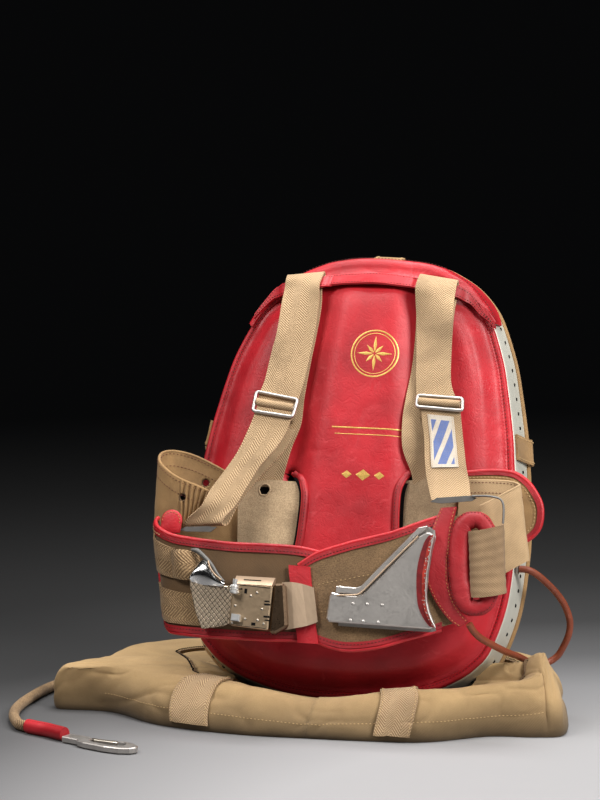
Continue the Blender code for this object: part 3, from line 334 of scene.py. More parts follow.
def edge_stitches(name, grid, inset, offset, look, faces=(-1, 1), **sizes):
    """Stitches along both long edges of a sheet, on the faces stated."""
    runs = [sheet_run(grid, inset, side, offset, end) for end in (False, True) for side in faces]
    stitches(name, runs, look, **sizes)


def dome(centre, radius, height, axis=(0, -1, 0), sides=10):
    """A round rivet head (points, faces) at a centre, standing out along an axis."""
    axis = unit(np.asarray(axis, float))
    side = unit(np.cross(axis, (0, 0, 1) if abs(axis[2]) < 0.9 else (1, 0, 0)))
    turns = full_turn(sides)[:, None]
    spokes = np.cos(turns) * side + np.sin(turns) * np.cross(axis, side)
    points = np.vstack([centre + radius * out * spokes + axis * height * rise
                        for out, rise in ((1, -0.3), (1, 0.25), (0.75, 0.75), (0.35, 0.97))])
    return points, ring_faces(4, sides) + [tuple(range(3 * sides, 4 * sides)), tuple(range(sides))]


def block(outline, front, back):
    """A flat plate (points, faces) from an outline (x, z) between two depths."""
    return np.array([(x, y, z) for y in (front, back) for x, z in outline]), prism_faces(len(outline))


def bar(section, left, right):
    """A bar (points, faces) of one section (y, z) between two x."""
    return np.array([(x, y, z) for x in (left, right) for y, z in section]), prism_faces(len(section))


# ---------------------------------------------------------------- materials

class Look:
    """A Principled material with the few node patterns that the surfaces share."""

    def __init__(self, name, slot, colour, roughness, metallic=0.0, sheen=0.0, coat=0.0):
        self.slot = slot
        self.material = bpy.data.materials.new(name)
        self.material.use_nodes = True
        self.tree = self.material.node_tree
        self.shader = self.tree.nodes["Principled BSDF"]
        for key, value in (("Base Color", (*colour, 1)), ("Roughness", roughness), ("Metallic", metallic),
                           ("Sheen Weight", sheen), ("Coat Weight", coat), ("Coat Roughness", 0.25)):
            self.shader.inputs[key].default_value = value
        self.where = self.add("TexCoord")

    def add(self, kind, inputs=None, **settings):
        made = self.tree.nodes.new("ShaderNode" + kind)
        for key, value in settings.items():
            setattr(made, key, value)
        for key, value in (inputs or {}).items():
            if isinstance(value, bpy.types.NodeSocket):
                self.tree.links.new(value, made.inputs[key])
            else:
                made.inputs[key].default_value = value
        return made

    def split(self, space="Object"):
        return self.add("SeparateXYZ", {0: self.where.outputs[space]}).outputs

    def noise(self, scale, detail=3.0, stretch=None, distortion=0.0):
        spot = self.where.outputs["Object"]
        if stretch:
            spot = self.add("Mapping", {"Vector": spot, "Scale": stretch}).outputs[0]
        return self.add("TexNoise", {"Vector": spot, "Scale": scale, "Detail": detail,
                                     "Distortion": distortion}).outputs["Fac"]

    def maths(self, kind, first, second=0.0, third=0.0, clamp=False):
        return self.add("Math", {0: first, 1: second, 2: third}, operation=kind, use_clamp=clamp).outputs[0]

    def times(self, first, second):
        return self.maths("MULTIPLY", first, second)

    def plus(self, first, second, clamp=False):
        return self.maths("ADD", first, second, clamp=clamp)

    def span(self, value, low, high, to_low=0.0, to_high=1.0):
        return self.add("MapRange", {"Value": value, "From Min": low, "From Max": high,
                                     "To Min": to_low, "To Max": to_high}).outputs[0]

    def mix(self, share, first, second):
        first, second = ((*part, 1) if isinstance(part, tuple) else part for part in (first, second))
        return self.add("Mix", {0: share, 6: first, 7: second}, data_type="RGBA").outputs[2]

    def set(self, name, socket):
        self.tree.links.new(socket, self.shader.inputs[name])

    def colour(self, share, first, second):
        self.set("Base Color", self.mix(share, first, second))

    def bumps(self, *layers):
        """Bump layers (height socket, strength, distance in metres), one over the other."""
        normal = None
        for height, strength, distance in layers:
            inputs = {"Height": height, "Strength": strength, "Distance": distance}
            if normal:
                inputs["Normal"] = normal
            normal = self.add("Bump", inputs).outputs[0]
        self.set("Normal", normal)


def leather_look(name, slot, light, dark, roughness=0.47, grain=900.0, scuff=0.3, coat=0.05):
    """Finished leather: fine grain, darker blotches, small scuffs and soft gloss."""
    look = Look(name, slot, light, roughness, coat=coat)
    colour = look.mix(look.span(look.noise(14.0, 4.0), 0.4, 0.68), light, dark)
    scratch = look.span(look.noise(60.0, 8.0, distortion=1.5), 0.63, 0.72)
    look.colour(look.times(scratch, scuff), colour, tuple(min(1.0, c * 1.15 + 0.06) for c in light))
    cells = look.add("TexVoronoi", {"Vector": look.where.outputs["Object"], "Scale": grain},
                     feature="DISTANCE_TO_EDGE").outputs["Distance"]
    wrinkles = look.maths("ABSOLUTE", look.maths("SUBTRACT", look.noise(58.0, 3.0, distortion=1.2), 0.5))
    look.bumps((look.span(wrinkles, 0.0, 0.05), 0.22, 0.0005), (look.noise(330.0, 4.0), 0.35, 0.0005),
               (look.span(cells, 0.0, 0.12), 0.30, 0.00018), (look.noise(2600.0, 2.0), 0.15, 0.0001))
    look.shader.inputs["Specular IOR Level"].default_value = 0.42
    patches = look.span(look.noise(32.0, 5.0), 0.3, 0.7, roughness - 0.08, roughness + 0.12)
    look.set("Roughness", look.plus(patches, look.times(scratch, 0.12)))
    return look


def weave_look(name, slot, light, dark, herringbone, pitch=0.0029, band=0.010, soil=0.5,
               fibre=1500.0, speckle=0.3, foot=0.0):
    """Woven cloth over UV in metres: a herringbone zigzag or a plain weave, with fibres and soil.

    Below a height of foot (metres) it is darkened towards the ground: painted shade."""
    look = Look(name, slot, light, 0.9, sheen=0.08)
    u, v, _ = look.split("UV")
    wobble = look.times(look.noise(240.0, 2.0), pitch * 0.35)
    turn = 2 * math.pi / pitch
    if herringbone:
        slant = look.plus(look.plus(v, look.maths("PINGPONG", u, band)), wobble)
        wave = look.maths("SINE", look.times(slant, turn))
    else:
        wave = look.times(*(look.maths("SINE", look.times(look.plus(part, wobble), turn)) for part in (u, v)))
    threads = look.maths("MULTIPLY_ADD", wave, 0.5, 0.5)
    fibres = look.noise(fibre, 3.0)
    shade = look.span(threads, 0.12, 0.7, *((0.72, 0.02) if herringbone else (0.5, 0.1)))
    shade = look.plus(shade, look.span(fibres, 0.35, 0.65, 0.0, speckle), clamp=True)
    stain = look.times(look.span(look.noise(16.0, 5.0, distortion=0.6), 0.48, 0.72), soil)
    colour = look.mix(stain, look.mix(shade, light, dark), tuple(c * 0.55 for c in dark))
    # painted shade: the colour darkens towards the ground below foot
    if foot:
        height = look.plus(look.split()[2], look.span(look.noise(30.0), 0.3, 0.7, -0.003, 0.003))
        colour = look.mix(look.span(height, 0.0, foot, 0.93, 0.0), colour, tuple(c * 0.12 for c in dark))
    look.set("Base Color", colour)
    look.bumps((look.noise(120.0, 3.0), 0.3, 0.0006), (threads, 0.6, 0.0009 if herringbone else 0.0004),
               (fibres, 0.3, 0.0002))
    return look


def suede_look(name, slot, light, dark):
    """Rough suede: a short fuzzy nap with dark and light specks."""
    look = Look(name, slot, light, 0.95, sheen=0.12)
    speck = look.noise(760.0, 8.0, distortion=0.4)
    blotch = look.span(look.noise(20.0, 6.0, distortion=0.5), 0.42, 0.7)
    nap = look.mix(look.span(speck, 0.38, 0.66), light, dark)
    look.colour(look.times(blotch, 0.55), nap, tuple(c * 0.45 for c in dark))
    look.bumps((look.noise(90.0, 4.0), 0.5, 0.0012), (speck, 0.8, 0.0006))
    return look


def metal_look(name, slot, colour, roughness, dirt=0.35, metallic=1.0, dents=0.15):
    """Bare metal with fine scratches, dull patches and darker patches of dirt."""
    look = Look(name, slot, colour, roughness, metallic)
    patch = look.noise(45.0, 6.0)
    look.colour(look.times(look.span(patch, 0.45, 0.7), dirt), colour, tuple(c * 0.55 for c in colour))
    scratches = look.noise(900.0, 3.0)
    look.set("Roughness", look.span(look.plus(scratches, look.times(patch, 0.6)), 0.5, 1.1,
                                    roughness - 0.07, roughness + 0.2))
    look.bumps((look.noise(60.0, 3.0), dents, 0.0008), (scratches, 0.12, 0.00008))
    return look


def knurled_look(name, slot, colour, roughness, pitch=0.0058):
    """Metal with two crossing sets of cut lines, about 6 mm apart."""
    look = metal_look(name, slot, colour, roughness)
    x, _, z = look.split()
    land = look.times(*(look.span(look.maths("PINGPONG", look.maths("MULTIPLY_ADD", z, slope, x), pitch / 2),
                                  0.00015, 0.0007) for slope in (0.92, -0.92)))
    # painted shade: the cut lines are coloured near black
    look.colour(land, (0.03, 0.026, 0.022), colour)
    look.bumps((land, 0.9, 0.0005), (look.noise(900.0, 3.0), 0.15, 0.0001))
    return look


def plain_look(name, slot, colour, roughness, metallic=0.0, vary=0.25, size=700.0):
    """A small piece's finish: one colour that varies a little, with a fine bump."""
    look = Look(name, slot, colour, roughness, metallic)
    spots = look.noise(size, 3.0)
    look.colour(look.times(look.span(spots, 0.35, 0.65), vary), colour, tuple(c * 0.35 for c in colour))
    look.bumps((spots, 0.3, 0.0002))
    return look


def label_look(name, slot):
    """Woven label over UV: a cream ground with a blue field and two slanting cream stripes."""
    look = Look(name, slot, (0.62, 0.58, 0.48), 0.85, sheen=0.2)
    u, v, _ = look.split("UV")
    middle = look.maths("ABSOLUTE", look.maths("SUBTRACT", v, 0.032))
    inside = look.times(look.maths("LESS_THAN", look.maths("ABSOLUTE", u), 0.0118),
                        look.maths("LESS_THAN", middle, 0.0265))
    slant = look.plus(look.times(u, 0.8), look.times(v, 0.36))
    stripe = look.maths("GREATER_THAN", look.maths("PINGPONG", slant, 0.0062), 0.0022)
    field = look.mix(look.times(inside, stripe), (0.66, 0.58, 0.48), (0.10, 0.16, 0.40))
    look.colour(look.span(look.noise(900.0, 4.0), 0.4, 0.8, 0.0, 0.5), field, (0.30, 0.27, 0.22))
    look.bumps((look.maths("SINE", look.times(v, 2 * math.pi / 0.0011)), 0.35, 0.0002))
    return look


RED = (0.51, 0.014, 0.023)
RED_DARK = (0.30, 0.006, 0.011)
leather = leather_look("red_leather", "red_leather", RED, RED_DARK)
piping_leather = leather_look("piping_leather", "red_leather", (0.56, 0.018, 0.026), RED_DARK, 0.38, 1300.0)
band_leather = leather_look("band_leather", "red_leather", (0.36, 0.011, 0.017), (0.20, 0.005, 0.009), 0.5)
ring_leather = leather_look("ring_leather", "red_leather", (0.35, 0.008, 0.014), (0.17, 0.004, 0.007), 0.55)
hose_leather = leather_look("hose_leather", "brown_leather", (0.25, 0.055, 0.022), (0.13, 0.028, 0.012),
                            0.45, 1500.0, 0.5)
webbing = weave_look("webbing", "tan_webbing", (0.64, 0.45, 0.26), (0.27, 0.165, 0.08), True)
coarse_webbing = weave_look("coarse_webbing", "tan_webbing", (0.46, 0.30, 0.15), (0.15, 0.085, 0.035), True,
                            0.0036, 0.013, 0.7, 620.0, 0.75)
loop_webbing = weave_look("loop_webbing", "tan_webbing", (0.36, 0.235, 0.125), (0.15, 0.088, 0.042), False,
                          0.0026)
rib_webbing = weave_look("ribbed_webbing", "tan_webbing", (0.54, 0.37, 0.20), (0.27, 0.17, 0.085), False,
                         0.0020)
canvas = weave_look("canvas", "tan_canvas", (0.42, 0.25, 0.10), (0.21, 0.115, 0.045), False, 0.0015, soil=0.6)
# a darker copy of the canvas for the belt: its own darker tone with painted shade over it; the eyelet rings
# and the zip tape use it too
dark_canvas = weave_look("shaded_canvas", "tan_canvas", (0.155, 0.085, 0.033), (0.075, 0.04, 0.016), False,
                         0.0017)
# the bag's canvas darkens towards the floor below 46 mm: painted shade
bag_canvas = weave_look("bag_canvas", "tan_canvas", (0.56, 0.38, 0.18), (0.33, 0.20, 0.085), False, 0.0015,
                        soil=0.35, foot=0.046)
suede = suede_look("suede", "suede", (0.25, 0.15, 0.07), (0.12, 0.068, 0.03))
light_suede = suede_look("light_suede", "suede", (0.60, 0.44, 0.27), (0.40, 0.28, 0.16))
rim_metal = metal_look("rim_metal", "grey_rim", (0.62, 0.61, 0.53), 0.48, dirt=0.3, metallic=0.35)
steel = metal_look("steel", "bright_steel", (0.48, 0.44, 0.38), 0.30, dirt=0.55)
aluminium = metal_look("aluminium", "bright_steel", (0.56, 0.53, 0.50), 0.40, dirt=0.4)
chrome = metal_look("chrome", "bright_steel", (0.80, 0.80, 0.79), 0.10, dirt=0.15, dents=0.05)
brass = metal_look("worn_brass", "bright_steel", (0.62, 0.46, 0.30), 0.34, dirt=0.55)
bronze = metal_look("old_bronze", "bright_steel", (0.17, 0.112, 0.070), 0.28, dirt=0.6)
bright_metal = metal_look("bright_metal", "bright_steel", (0.74, 0.74, 0.73), 0.30, dirt=0.2, metallic=0.75)
pale_steel = metal_look("pale_steel", "bright_steel", (0.52, 0.38, 0.26), 0.42, dirt=0.4, metallic=0.7)
knurled = knurled_look("knurled_steel", "bright_steel", (0.62, 0.50, 0.37), 0.36)
dull_steel = metal_look("dull_steel", "bright_steel", (0.16, 0.155, 0.145), 0.5, dirt=0.6, metallic=0.6)
label_cloth = label_look("woven_label", "woven_label")
gold = plain_look("gold_leaf", "red_leather", (0.83, 0.52, 0.13), 0.38, 0.35, 0.55, 900.0)
dark_thread = plain_look("dark_thread", "red_leather", (0.10, 0.014, 0.010), 0.8)
cream_thread = plain_look("cream_thread", "tan_webbing", (0.62, 0.42, 0.20), 0.8)
orange_thread = plain_look("orange_thread", "tan_webbing", (0.50, 0.20, 0.06), 0.8)
# one red paint in two copies: the darker is painted shade for the lever's hollow end, the lighter, which also
# varies with wear, painted light on its outer strip
worn_paint_painted_light = plain_look("worn_red_paint_painted_light", "red_leather", (0.56, 0.045, 0.028), 0.42, 0.0, 0.8, 120.0)
red_paint_painted_shade = plain_look("red_paint_painted_shade", "red_leather", (0.20, 0.010, 0.012), 0.4, 0.0, 0.6, 160.0)
# near black: painted shade in the slots, holes and gaps it is laid in, and the zip's black teeth
black_and_painted_shade = plain_look("black_painted_shade", "bright_steel", (0.006, 0.005, 0.005), 0.9)
black_and_painted_shade.shader.inputs["Specular IOR Level"].default_value = 0.1


# ---------------------------------------------------------------- the pack's own surfaces

# Fine points (x, z from the centre) round the rim's egg-shaped outline
OUTLINE = smooth_rows(
    [(right, height - PACK_CENTRE_Z) for height, _, right in OUTLINE_ROWS]
    + [(-left, height - PACK_CENTRE_Z) for height, left, _ in OUTLINE_ROWS[-2:0:-1]], 6, True)


def reach_at(angle):
    """Distance from the pack's centre to its outline, at an angle from the top (radians)."""
    angles = np.arctan2(OUTLINE[:, 0], OUTLINE[:, 1])
    order = np.argsort(angles)
    return np.interp(angle, angles[order], np.hypot(*OUTLINE.T)[order], period=2 * math.pi)


def ease(value):
    """Smooth step from 0 to 1."""
    value = np.clip(value, 0, 1)
    return value * value * (3 - 2 * value)


def edge_distance(x, z):
    """Distance in from the outline and share of the way out from the centre."""
    reach = reach_at(np.arctan2(x, z - PACK_CENTRE_Z))
    out = np.hypot(x, z - PACK_CENTRE_Z)
    return reach - out, out / reach


def front_height(x, z):
    """How far the padded leather front stands out of the rim's front plane.

    A flat stitched border, a rounded pad inside it, a low dome, and a raised spine down the
    middle with a shallow valley on both sides.
    """
    inward, share = edge_distance(x, z)
    height = PANEL_BORDER + 18 * ease((inward - 10) / 28) + 10 * np.clip(1 - share ** 2, 0, 1)
    half = np.interp(z, [165, 270, 500], [60, 58, 40])
    across = np.abs(x - SPINE_X)
    spine = 11 * (1 - ease((across - (half - 10)) / 18))
    spine = spine * ease((z - 110) / 60) * ease((inward - 14) / 40)
    valley = 4 * np.exp(-((across - (half + 16)) / 14) ** 2) * ease((inward - 20) / 30)
    return height + spine - valley


def back_depth(x, z):
    """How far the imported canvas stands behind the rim's front plane."""
    inward, share = edge_distance(x, z)
    return RIM_DEPTH + 10 * ease((inward + 9) / 12) + BACK_BULGE * np.clip(1 - share ** 2, 0, 1) ** 0.7


def on_front(rows):
    """Band rows (x, lift, z, x, lift, z) with each lift turned into the y over the front."""
    return [(ax, -(front_height(ax, az) + a_lift), az, bx, -(front_height(bx, bz) + b_lift), bz)
            for ax, a_lift, az, bx, b_lift, bz in rows]


def ring_points(inset, y, count):
    """Points of the outline at a constant distance inside it (negative is outside), at one depth."""
    angle = full_turn(count)
    reach = reach_at(angle) - inset
    depth = np.full(count, float(y))
    return np.stack([reach * np.sin(angle), depth, PACK_CENTRE_Z + reach * np.cos(angle)], -1)


def rim_flare(y):
    """How far the rim's wall stands outside the outline at a depth."""
    return 1.0 + RIM_FLARE * y / RIM_DEPTH


# Slots at both sides of the spine, where the belt's back panels come out (x, z)
SLOT_LEFT = [(-72, 262), (-62, 256), (-56, 246), (-53, 231), (-54, 195), (-57, 170), (-60, 150)]
SLOT_RIGHT = [(84, 274), (74, 268), (67, 256), (64, 240), (65, 205), (68, 178), (70, 160)]
BORDER_SEAM = 7.5


def panel_height(x, z):
    """The front's height with its seam, puckers, dents, creases and the two slots."""
    inward = edge_distance(x, z)[0]
    angle = np.arctan2(x, z - PACK_CENTRE_Z)
    soft = np.mean([front_height(x + reach * math.cos(t), z + reach * math.sin(t))
                    for reach in (7, 14) for t in full_turn(8)], 0)
    keep = ease((inward - 24) / 14)
    height = front_height(x, z) * (1 - keep) + (soft + 1.0) * keep
    height = height - 0.9 * np.exp(-((inward - BORDER_SEAM) / 1.1) ** 2)
    height = height + 0.7 * np.exp(-((inward - 3.6) / 2.6) ** 2)
    height = height - 2.4 * np.clip((2.2 - inward) / 2.4, 0, 1) ** 2
    height += 0.55 * noise(angle * 200, inward * 0.2, 9, 2) * np.exp(-((inward - 13) / 8) ** 2)
    inside = ease((inward - 14) / 16)
    height += inside * (1.0 * noise(x, z, 95, 1) + 0.3 * noise(x, z, 31, 3) + 0.14 * noise(x, z, 11, 4))
    fold = crease(x + 12 * noise(x, z, 60, 8), z * 0.45, 34, 5) * ease((noise(x, z, 80, 6) - 0.05) / 0.3)
    height -= inside * 0.4 * fold
    for path, mouth in ((SLOT_LEFT, (-70, 258)), (SLOT_RIGHT, (80, 269))):
        height = height - 7.0 * np.exp(-(path_distance(x, z, path) / 3.0) ** 2)
        height = height - 11.0 * np.exp(-(np.hypot(x - mouth[0], z - mouth[1]) / 6.5) ** 2)
    return height


def over_panel(x, z, lift):
    """Points at a lift over the fine front."""
    x, z = np.asarray(x, float), np.asarray(z, float)
    return np.stack([x, -(panel_height(x, z) + lift), z], -1)


def panel_normals(points):
    """Outward normals of the front at some points."""
    x, z = points[:, 0], points[:, 2]
    slope_x = (front_height(x + 1, z) - front_height(x - 1, z)) / 2
    slope_z = (front_height(x, z + 1) - front_height(x, z - 1)) / 2
    return unit(np.stack([-slope_x, np.full_like(x, -1), -slope_z], -1))


def shrunk_rings(insets, count, last, steps):
    """Rings (x, z): the outline at each inset, and the last of them shrunk towards the centre."""
    rings = [ring_points(inset, 0, count)[:, (0, 2)] for inset in insets]
    centre = np.array([0, PACK_CENTRE_Z])
    return rings + [centre + (rings[-1] - centre) * share for share in np.linspace(1, last, steps)[1:]]


def build_front():
    """The front panel: its outline, shrunk ring by ring to the centre, at the panel's height."""
    insets = np.concatenate([[-0.2, 0.3, 1.0, 1.8], np.arange(2.6, 46, 1.3)])
    flat = np.array(shrunk_rings(insets, 300, 0.015, 86))
    solid = over_panel(flat[..., 0], flat[..., 1], 0)
    rings = np.vstack([[solid[0] * (1, 0, 1) - (0, 0.4, 0)], solid])
    uv = rings[..., (0, 2)].reshape(-1, 2) * MM
    ring_mesh("front_panel", rings, leather, uv, node="pack_front", fill=0.9)
    for name, inset, look, sizes in (
            ("front_stitching", -1.6, dark_thread, {"length": 2.6}),
            ("front_inner_stitching", 1.6, piping_leather, {"length": 2.9, "radius": 0.35})):
        seam = ring_points(BORDER_SEAM + inset, 0, 520)
        line = over_panel(*np.vstack([seam, seam[:1]])[:, (0, 2)].T, 0.1)
        stitches(name, [(line, panel_normals(line))], look, pitch=4.2, **sizes)


def disc(x, z, radius, y):
    """A round patch (points, faces) of painted shade facing the front; y gives its depth at x and z."""
    around = [(x + radius * reach * math.cos(t), z + radius * reach * math.sin(t))
              for reach in (1.0, 0.5) for t in full_turn(20)] + [(x, z)]
    points = [(a, float(y(a, b)), b) for a, b in around]
    return np.array(points), ring_faces(2, 20) + [(20 + i, 20 + (i + 1) % 20, 40) for i in range(20)]


def build_slot_piping():
    """Rounded, stitched leather edges of the spine beside the two slots, with black sheets of painted shade
    in the slots, at their mouths and in their narrow gaps.
    """
    runs, dark = [], []
    for name, path, side, mouth in (("left", SLOT_LEFT, 1, (-66, 256)), ("right", SLOT_RIGHT, -1, (77, 267))):
        x, z = smooth_rows(path, 10).T

        def beside(out, lift, most):
            """A line beside the slot, over the front and no deeper than the spine next to it."""
            spot = over_panel(x + side * out, z, lift)
            spot[:, 1] = np.minimum(spot[:, 1], -front_height(x + side * 7.5, z) + most)
            return spot
        rod("slot_piping_" + name, beside(5.5, 0.4, 1.0), 4.2, band_leather, sides=16)
        rod("slot_roll_" + name, beside(2.6, 0.6, 0.2), 1.9, piping_leather, sides=10)
        runs.append((beside(6.2, 0, 1.0) - (0, 4.0, 0), (0, -1, 0)))
        # painted shade: a black sheet over each slot and a black disc at its mouth
        shade_sheet = over_panel(x[:, None] + np.linspace(-6.5, 1.5, 7) * side, np.repeat(z[:, None], 7, 1), 0.35)
        dark.append((shade_sheet.reshape(-1, 3), grid_cells(len(x), 7)))
        dark.append(disc(*mouth, 8.5, lambda a, b: over_panel(np.array([a]), np.array([b]), 0.8)[0, 1]))
        # painted shade: a black strip in the narrow gap beside each slot
        edge = smooth_rows([spot for spot in path if spot[1] < 258], 8)
        gap = [(a + side * s, -36.9, b) for a, b in edge for s in (-2.6, -0.6, 1.4)]
        dark.append((gap, grid_cells(len(edge), 3)))
    merged("slot_painted_shade_sheets", dark, black_and_painted_shade)
    stitches("slot_stitching", runs, dark_thread, pitch=4.0, radius=0.6)


def ribbon(points, widths, lift=0.22):
    """A thin gold shape (points, faces) along a line (x, z) on the front, as wide as stated."""
    points = np.asarray(points, float)
    ahead = np.gradient(points, axis=0)
    side = unit(np.stack([ahead[:, 1], -ahead[:, 0]], -1)) * np.broadcast_to(widths, len(points))[:, None] / 2
    spots = [over_panel(*(points + side * out).T, lift * rise)
             for out, rise in ((-1, 0.3), (-0.4, 1), (0.4, 1), (1, 0.3))]
    return np.vstack(spots), grid_cells(4, len(points))


ORNAMENT = (19.0, 403.0)
ORNAMENT_SIZE = 27.0


def build_ornament():
    """Plain gold ornament: an eight-pointed star in two rings, double lines and three diamonds."""
    x, z = ORNAMENT
    parts = []
    turns = np.linspace(0, 2 * math.pi, 73)
    for reach, width in ((ORNAMENT_SIZE, 1.7), (ORNAMENT_SIZE - 3.4, 0.8)):
        parts.append(ribbon(np.stack([x + reach * np.sin(turns), z + reach * np.cos(turns)], -1), width))
    along = np.linspace(0.12, 1, 12)
    for k in range(8):
        turn = k * math.pi / 4
        reach = 20.5 if k % 2 == 0 else 13.5
        line = np.stack([x + reach * along * math.sin(turn), z + reach * along * math.cos(turn)], -1)
        parts.append(ribbon(line, 6.0 * np.minimum(along * 1.4, (1 - along) * 1.25 + 0.02)))
    for left, right, height, width in ((-23, 61, 316, 1.5), (-19, 57, 308.5, 0.9)):
        parts.append(ribbon(np.linspace((left, height), (right, height), 60), width))
    reach = np.linspace(-1, 1, 13)
    for middle, size in ((-1, 6.0), (18, 8.5), (37, 6.0)):
        line = np.stack([middle + size * reach, np.full(13, 262.0)], -1)
        parts.append(ribbon(line, 1.5 * size * (1 - np.abs(reach)) + 0.02))
    merged("gold_ornament", parts, gold)


def build_rim():
    """The aluminium rim with its rounded lip and its row of punched holes."""
    section = [(RIM_LIP, 0.1), (0.5, 0.1), (-0.6, 0.5), (-rim_flare(2.2), 2.0), (-rim_flare(10), 10),
               (-rim_flare(20), 20), (-rim_flare(30), 30), (-rim_flare(37), 37), (-rim_flare(38) - 0.3, 38.6),
               (-rim_flare(38) + 0.3, RIM_DEPTH), (RIM_WALL - rim_flare(38) - 0.4, RIM_DEPTH),
               (RIM_WALL - rim_flare(3), 3), (RIM_LIP, 3)]
    rings = [ring_points(inset, y, 240) for inset, y in section]
    ring_mesh("rim", rings, rim_metal, hoop=True, node="pack_rim")
    # painted shade: the punched holes are black grains on the rim's wall
    holes = ring_points(-rim_flare(24) - 0.1, 24, 480)
    outward = unit(holes - (0, 24, PACK_CENTRE_Z))
    stitches("rim_holes", [(holes, outward)], black_and_painted_shade, pitch=17.0, length=5.4, radius=1.5)


def build_back():
    """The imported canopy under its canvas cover, with four sewn flaps and gathered edges."""
    def relief(x, z, inward):
        up = z - PACK_CENTRE_Z
        rise = 1.6 * noise(x, z, 90, 21) + 0.8 * noise(x, z, 34, 22)
        gathers = np.exp(-((inward - 6) / 22) ** 2)
        rise += 0.9 * noise(np.arctan2(x, up) * 210, inward * 0.15, 11, 23) * gathers
        for edge in (x + 0.06 * up, np.abs(up) - 96 - 0.0004 * x ** 2):
            rise -= 1.4 * np.exp(-(edge / 2.2) ** 2)
            rise += 0.9 * np.exp(-((edge - 7) / 5.0) ** 2)
        rise -= 0.8 * crease(x, z * 0.6, 46, 24) * ease(noise(x, z, 70, 25) / 0.3)
        return rise * ease(inward / 8)

    def over_back(x, z, lift=0.0):
        """Points over the back cover at a lift."""
        return np.stack([x, back_depth(x, z) + relief(x, z, edge_distance(x, z)[0]) + lift, z], -1)
    plug = RIM_WALL + 0.6 - rim_flare(39)
    profile = [(plug, -6), (plug, 0.4), (-9.6, 0.6), (-11.0, 2), (-11.2, 4), (-10.2, 7)]
    rings = [ring_points(inset, RIM_DEPTH + back, 260) for inset, back in profile]
    insets = np.concatenate([[-8.0, -5.0], np.arange(-2, 40, 2.0)])
    rings += [over_back(*ring.T) for ring in shrunk_rings(insets, 260, 0.02, 64)]
    uv = np.vstack([ring[:, (0, 2)] for ring in rings]) * MM
    ring_mesh("back_cover", rings, canvas, uv, node="pack_back", fill=0.9)
    z = np.linspace(30, 480, 120)
    lines = [over_back(-0.06 * (z - PACK_CENTRE_Z) + shift, z, 0.25) for shift in (-4.5, 4.5)]
    x = np.linspace(-150, 150, 90)
    lines += [over_back(x, PACK_CENTRE_Z + level + 0 * x, 0.25) for level in (-101, 101)]
    lines.append(over_back(*ring_points(4, 0, 400)[:, (0, 2)].T, 0.2))
    stitches("back_stitching", [(line, (0, 1, 0)) for line in lines], cream_thread, pitch=4.6)


# ---------------------------------------------------------------- yoke, tab and back band

YOKE_ROWS = [
    (-134, 450, -36, 20), (-113, 470, -28, 34), (-84, 480, -19, 34), (-50, 484, -11, 34),
    (-36, 485, -8.5, 33), (-28, 486, -7, 1.5), (11, 487, 1, 1.5), (46, 486, 9, 1.5),
    (54, 485, 10.8, 33), (82, 483, 16, 34), (112, 479, 24, 34), (138, 466, 31, 32),
    (151, 452, 36, 22)]
YOKE_LIFT = 2.0 + LEATHER / 2
YOKE_OVER = 1.3 + LEATHER / 2
# x, lift over the front, lower z, upper z
YOKE_BAND_ROWS = [
    (-136, 4.9, 445, 450), (-126, 5.3, 457, 464), (-114, 7.4, 468, 479), (-107, 10, 470, 483),
    (-99, 15.5, 472, 486), (-76, 16, 476, 490), (-52, 15.5, 480, 494), (-43, 10.6, 482, 497),
    (-36, 9.6, 484, 498), (10, 9.2, 486, 501), (48, 9.2, 484, 498), (54, 10.6, 483, 497),
    (62, 15.5, 481, 495), (84, 16, 478, 493), (105, 15.5, 475, 489), (114, 10, 472, 486),
    (121, 7.4, 469, 481), (131, 5.3, 459, 467), (142, 5.1, 451, 457), (151, 4.9, 442, 446)]


def yoke_column(row, steps):
    """Points up one column of the yoke: over the panel, over the rim's edge, down its side."""
    low_x, low_z, angle, wrap = row
    angle = math.radians(angle)
    outward = np.array([math.sin(angle), math.cos(angle)])
    edge = (0, PACK_CENTRE_Z) + outward * float(reach_at(angle))
    column = []
    for share in np.linspace(0, 1, steps):
        x, z = np.array([low_x, low_z]) * (1 - share) + (edge - outward * 3.0) * share
        column.append((x, -(float(front_height(x, z)) + YOKE_LIFT), z))
    over = edge + outward * (YOKE_OVER - 0.2)
    column.append((over[0], -PANEL_BORDER - 0.4, over[1]))
    for depth in (wrap * 0.08, wrap * 0.5, wrap):
        x, z = edge + outward * (rim_flare(depth) + YOKE_OVER)
        column.append((x, depth, z))
    return column


def soft_relief(size, amount, seed, stretch=1.0):
    """A relief of gentle dents for a sheet."""
    return lambda u, v: amount * noise(u, v * stretch, size, seed)


def build_yoke():
    """The red cap over the top of the pack, with a rolled and puckered lower edge."""
    grid = np.array([smooth_rows(yoke_column(row, 5), 6) for row in smooth_rows(YOKE_ROWS, 12)])

    def relief(u, v):
        low = np.broadcast_to(np.arange(u.shape[1]), u.shape)
        rolled = 0.9 * np.exp(-((low - 2.0) / 2.0) ** 2)
        puckers = 0.35 * noise(v, u * 0.3, 7, 31) * np.exp(-((low - 5) / 5.0) ** 2)
        folds = -0.7 * crease(v, u * 1.6, 30, 32) * ease(noise(u, v, 40, 33) / 0.3)
        return rolled + puckers + 0.5 * noise(u, v, 22, 34) + folds
    cloth("yoke_leather", grid, LEATHER, leather, "yoke", relief=relief, held="stretched")
    up = grid_normals(grid)[4:-4]
    runs = [(grid[4:-4, k] + up[:, k] * (LEATHER / 2 + 0.7), up[:, k]) for k in (5, grid.shape[1] - 16)]
    stitches("yoke_stitching", runs, dark_thread, pitch=4.0)


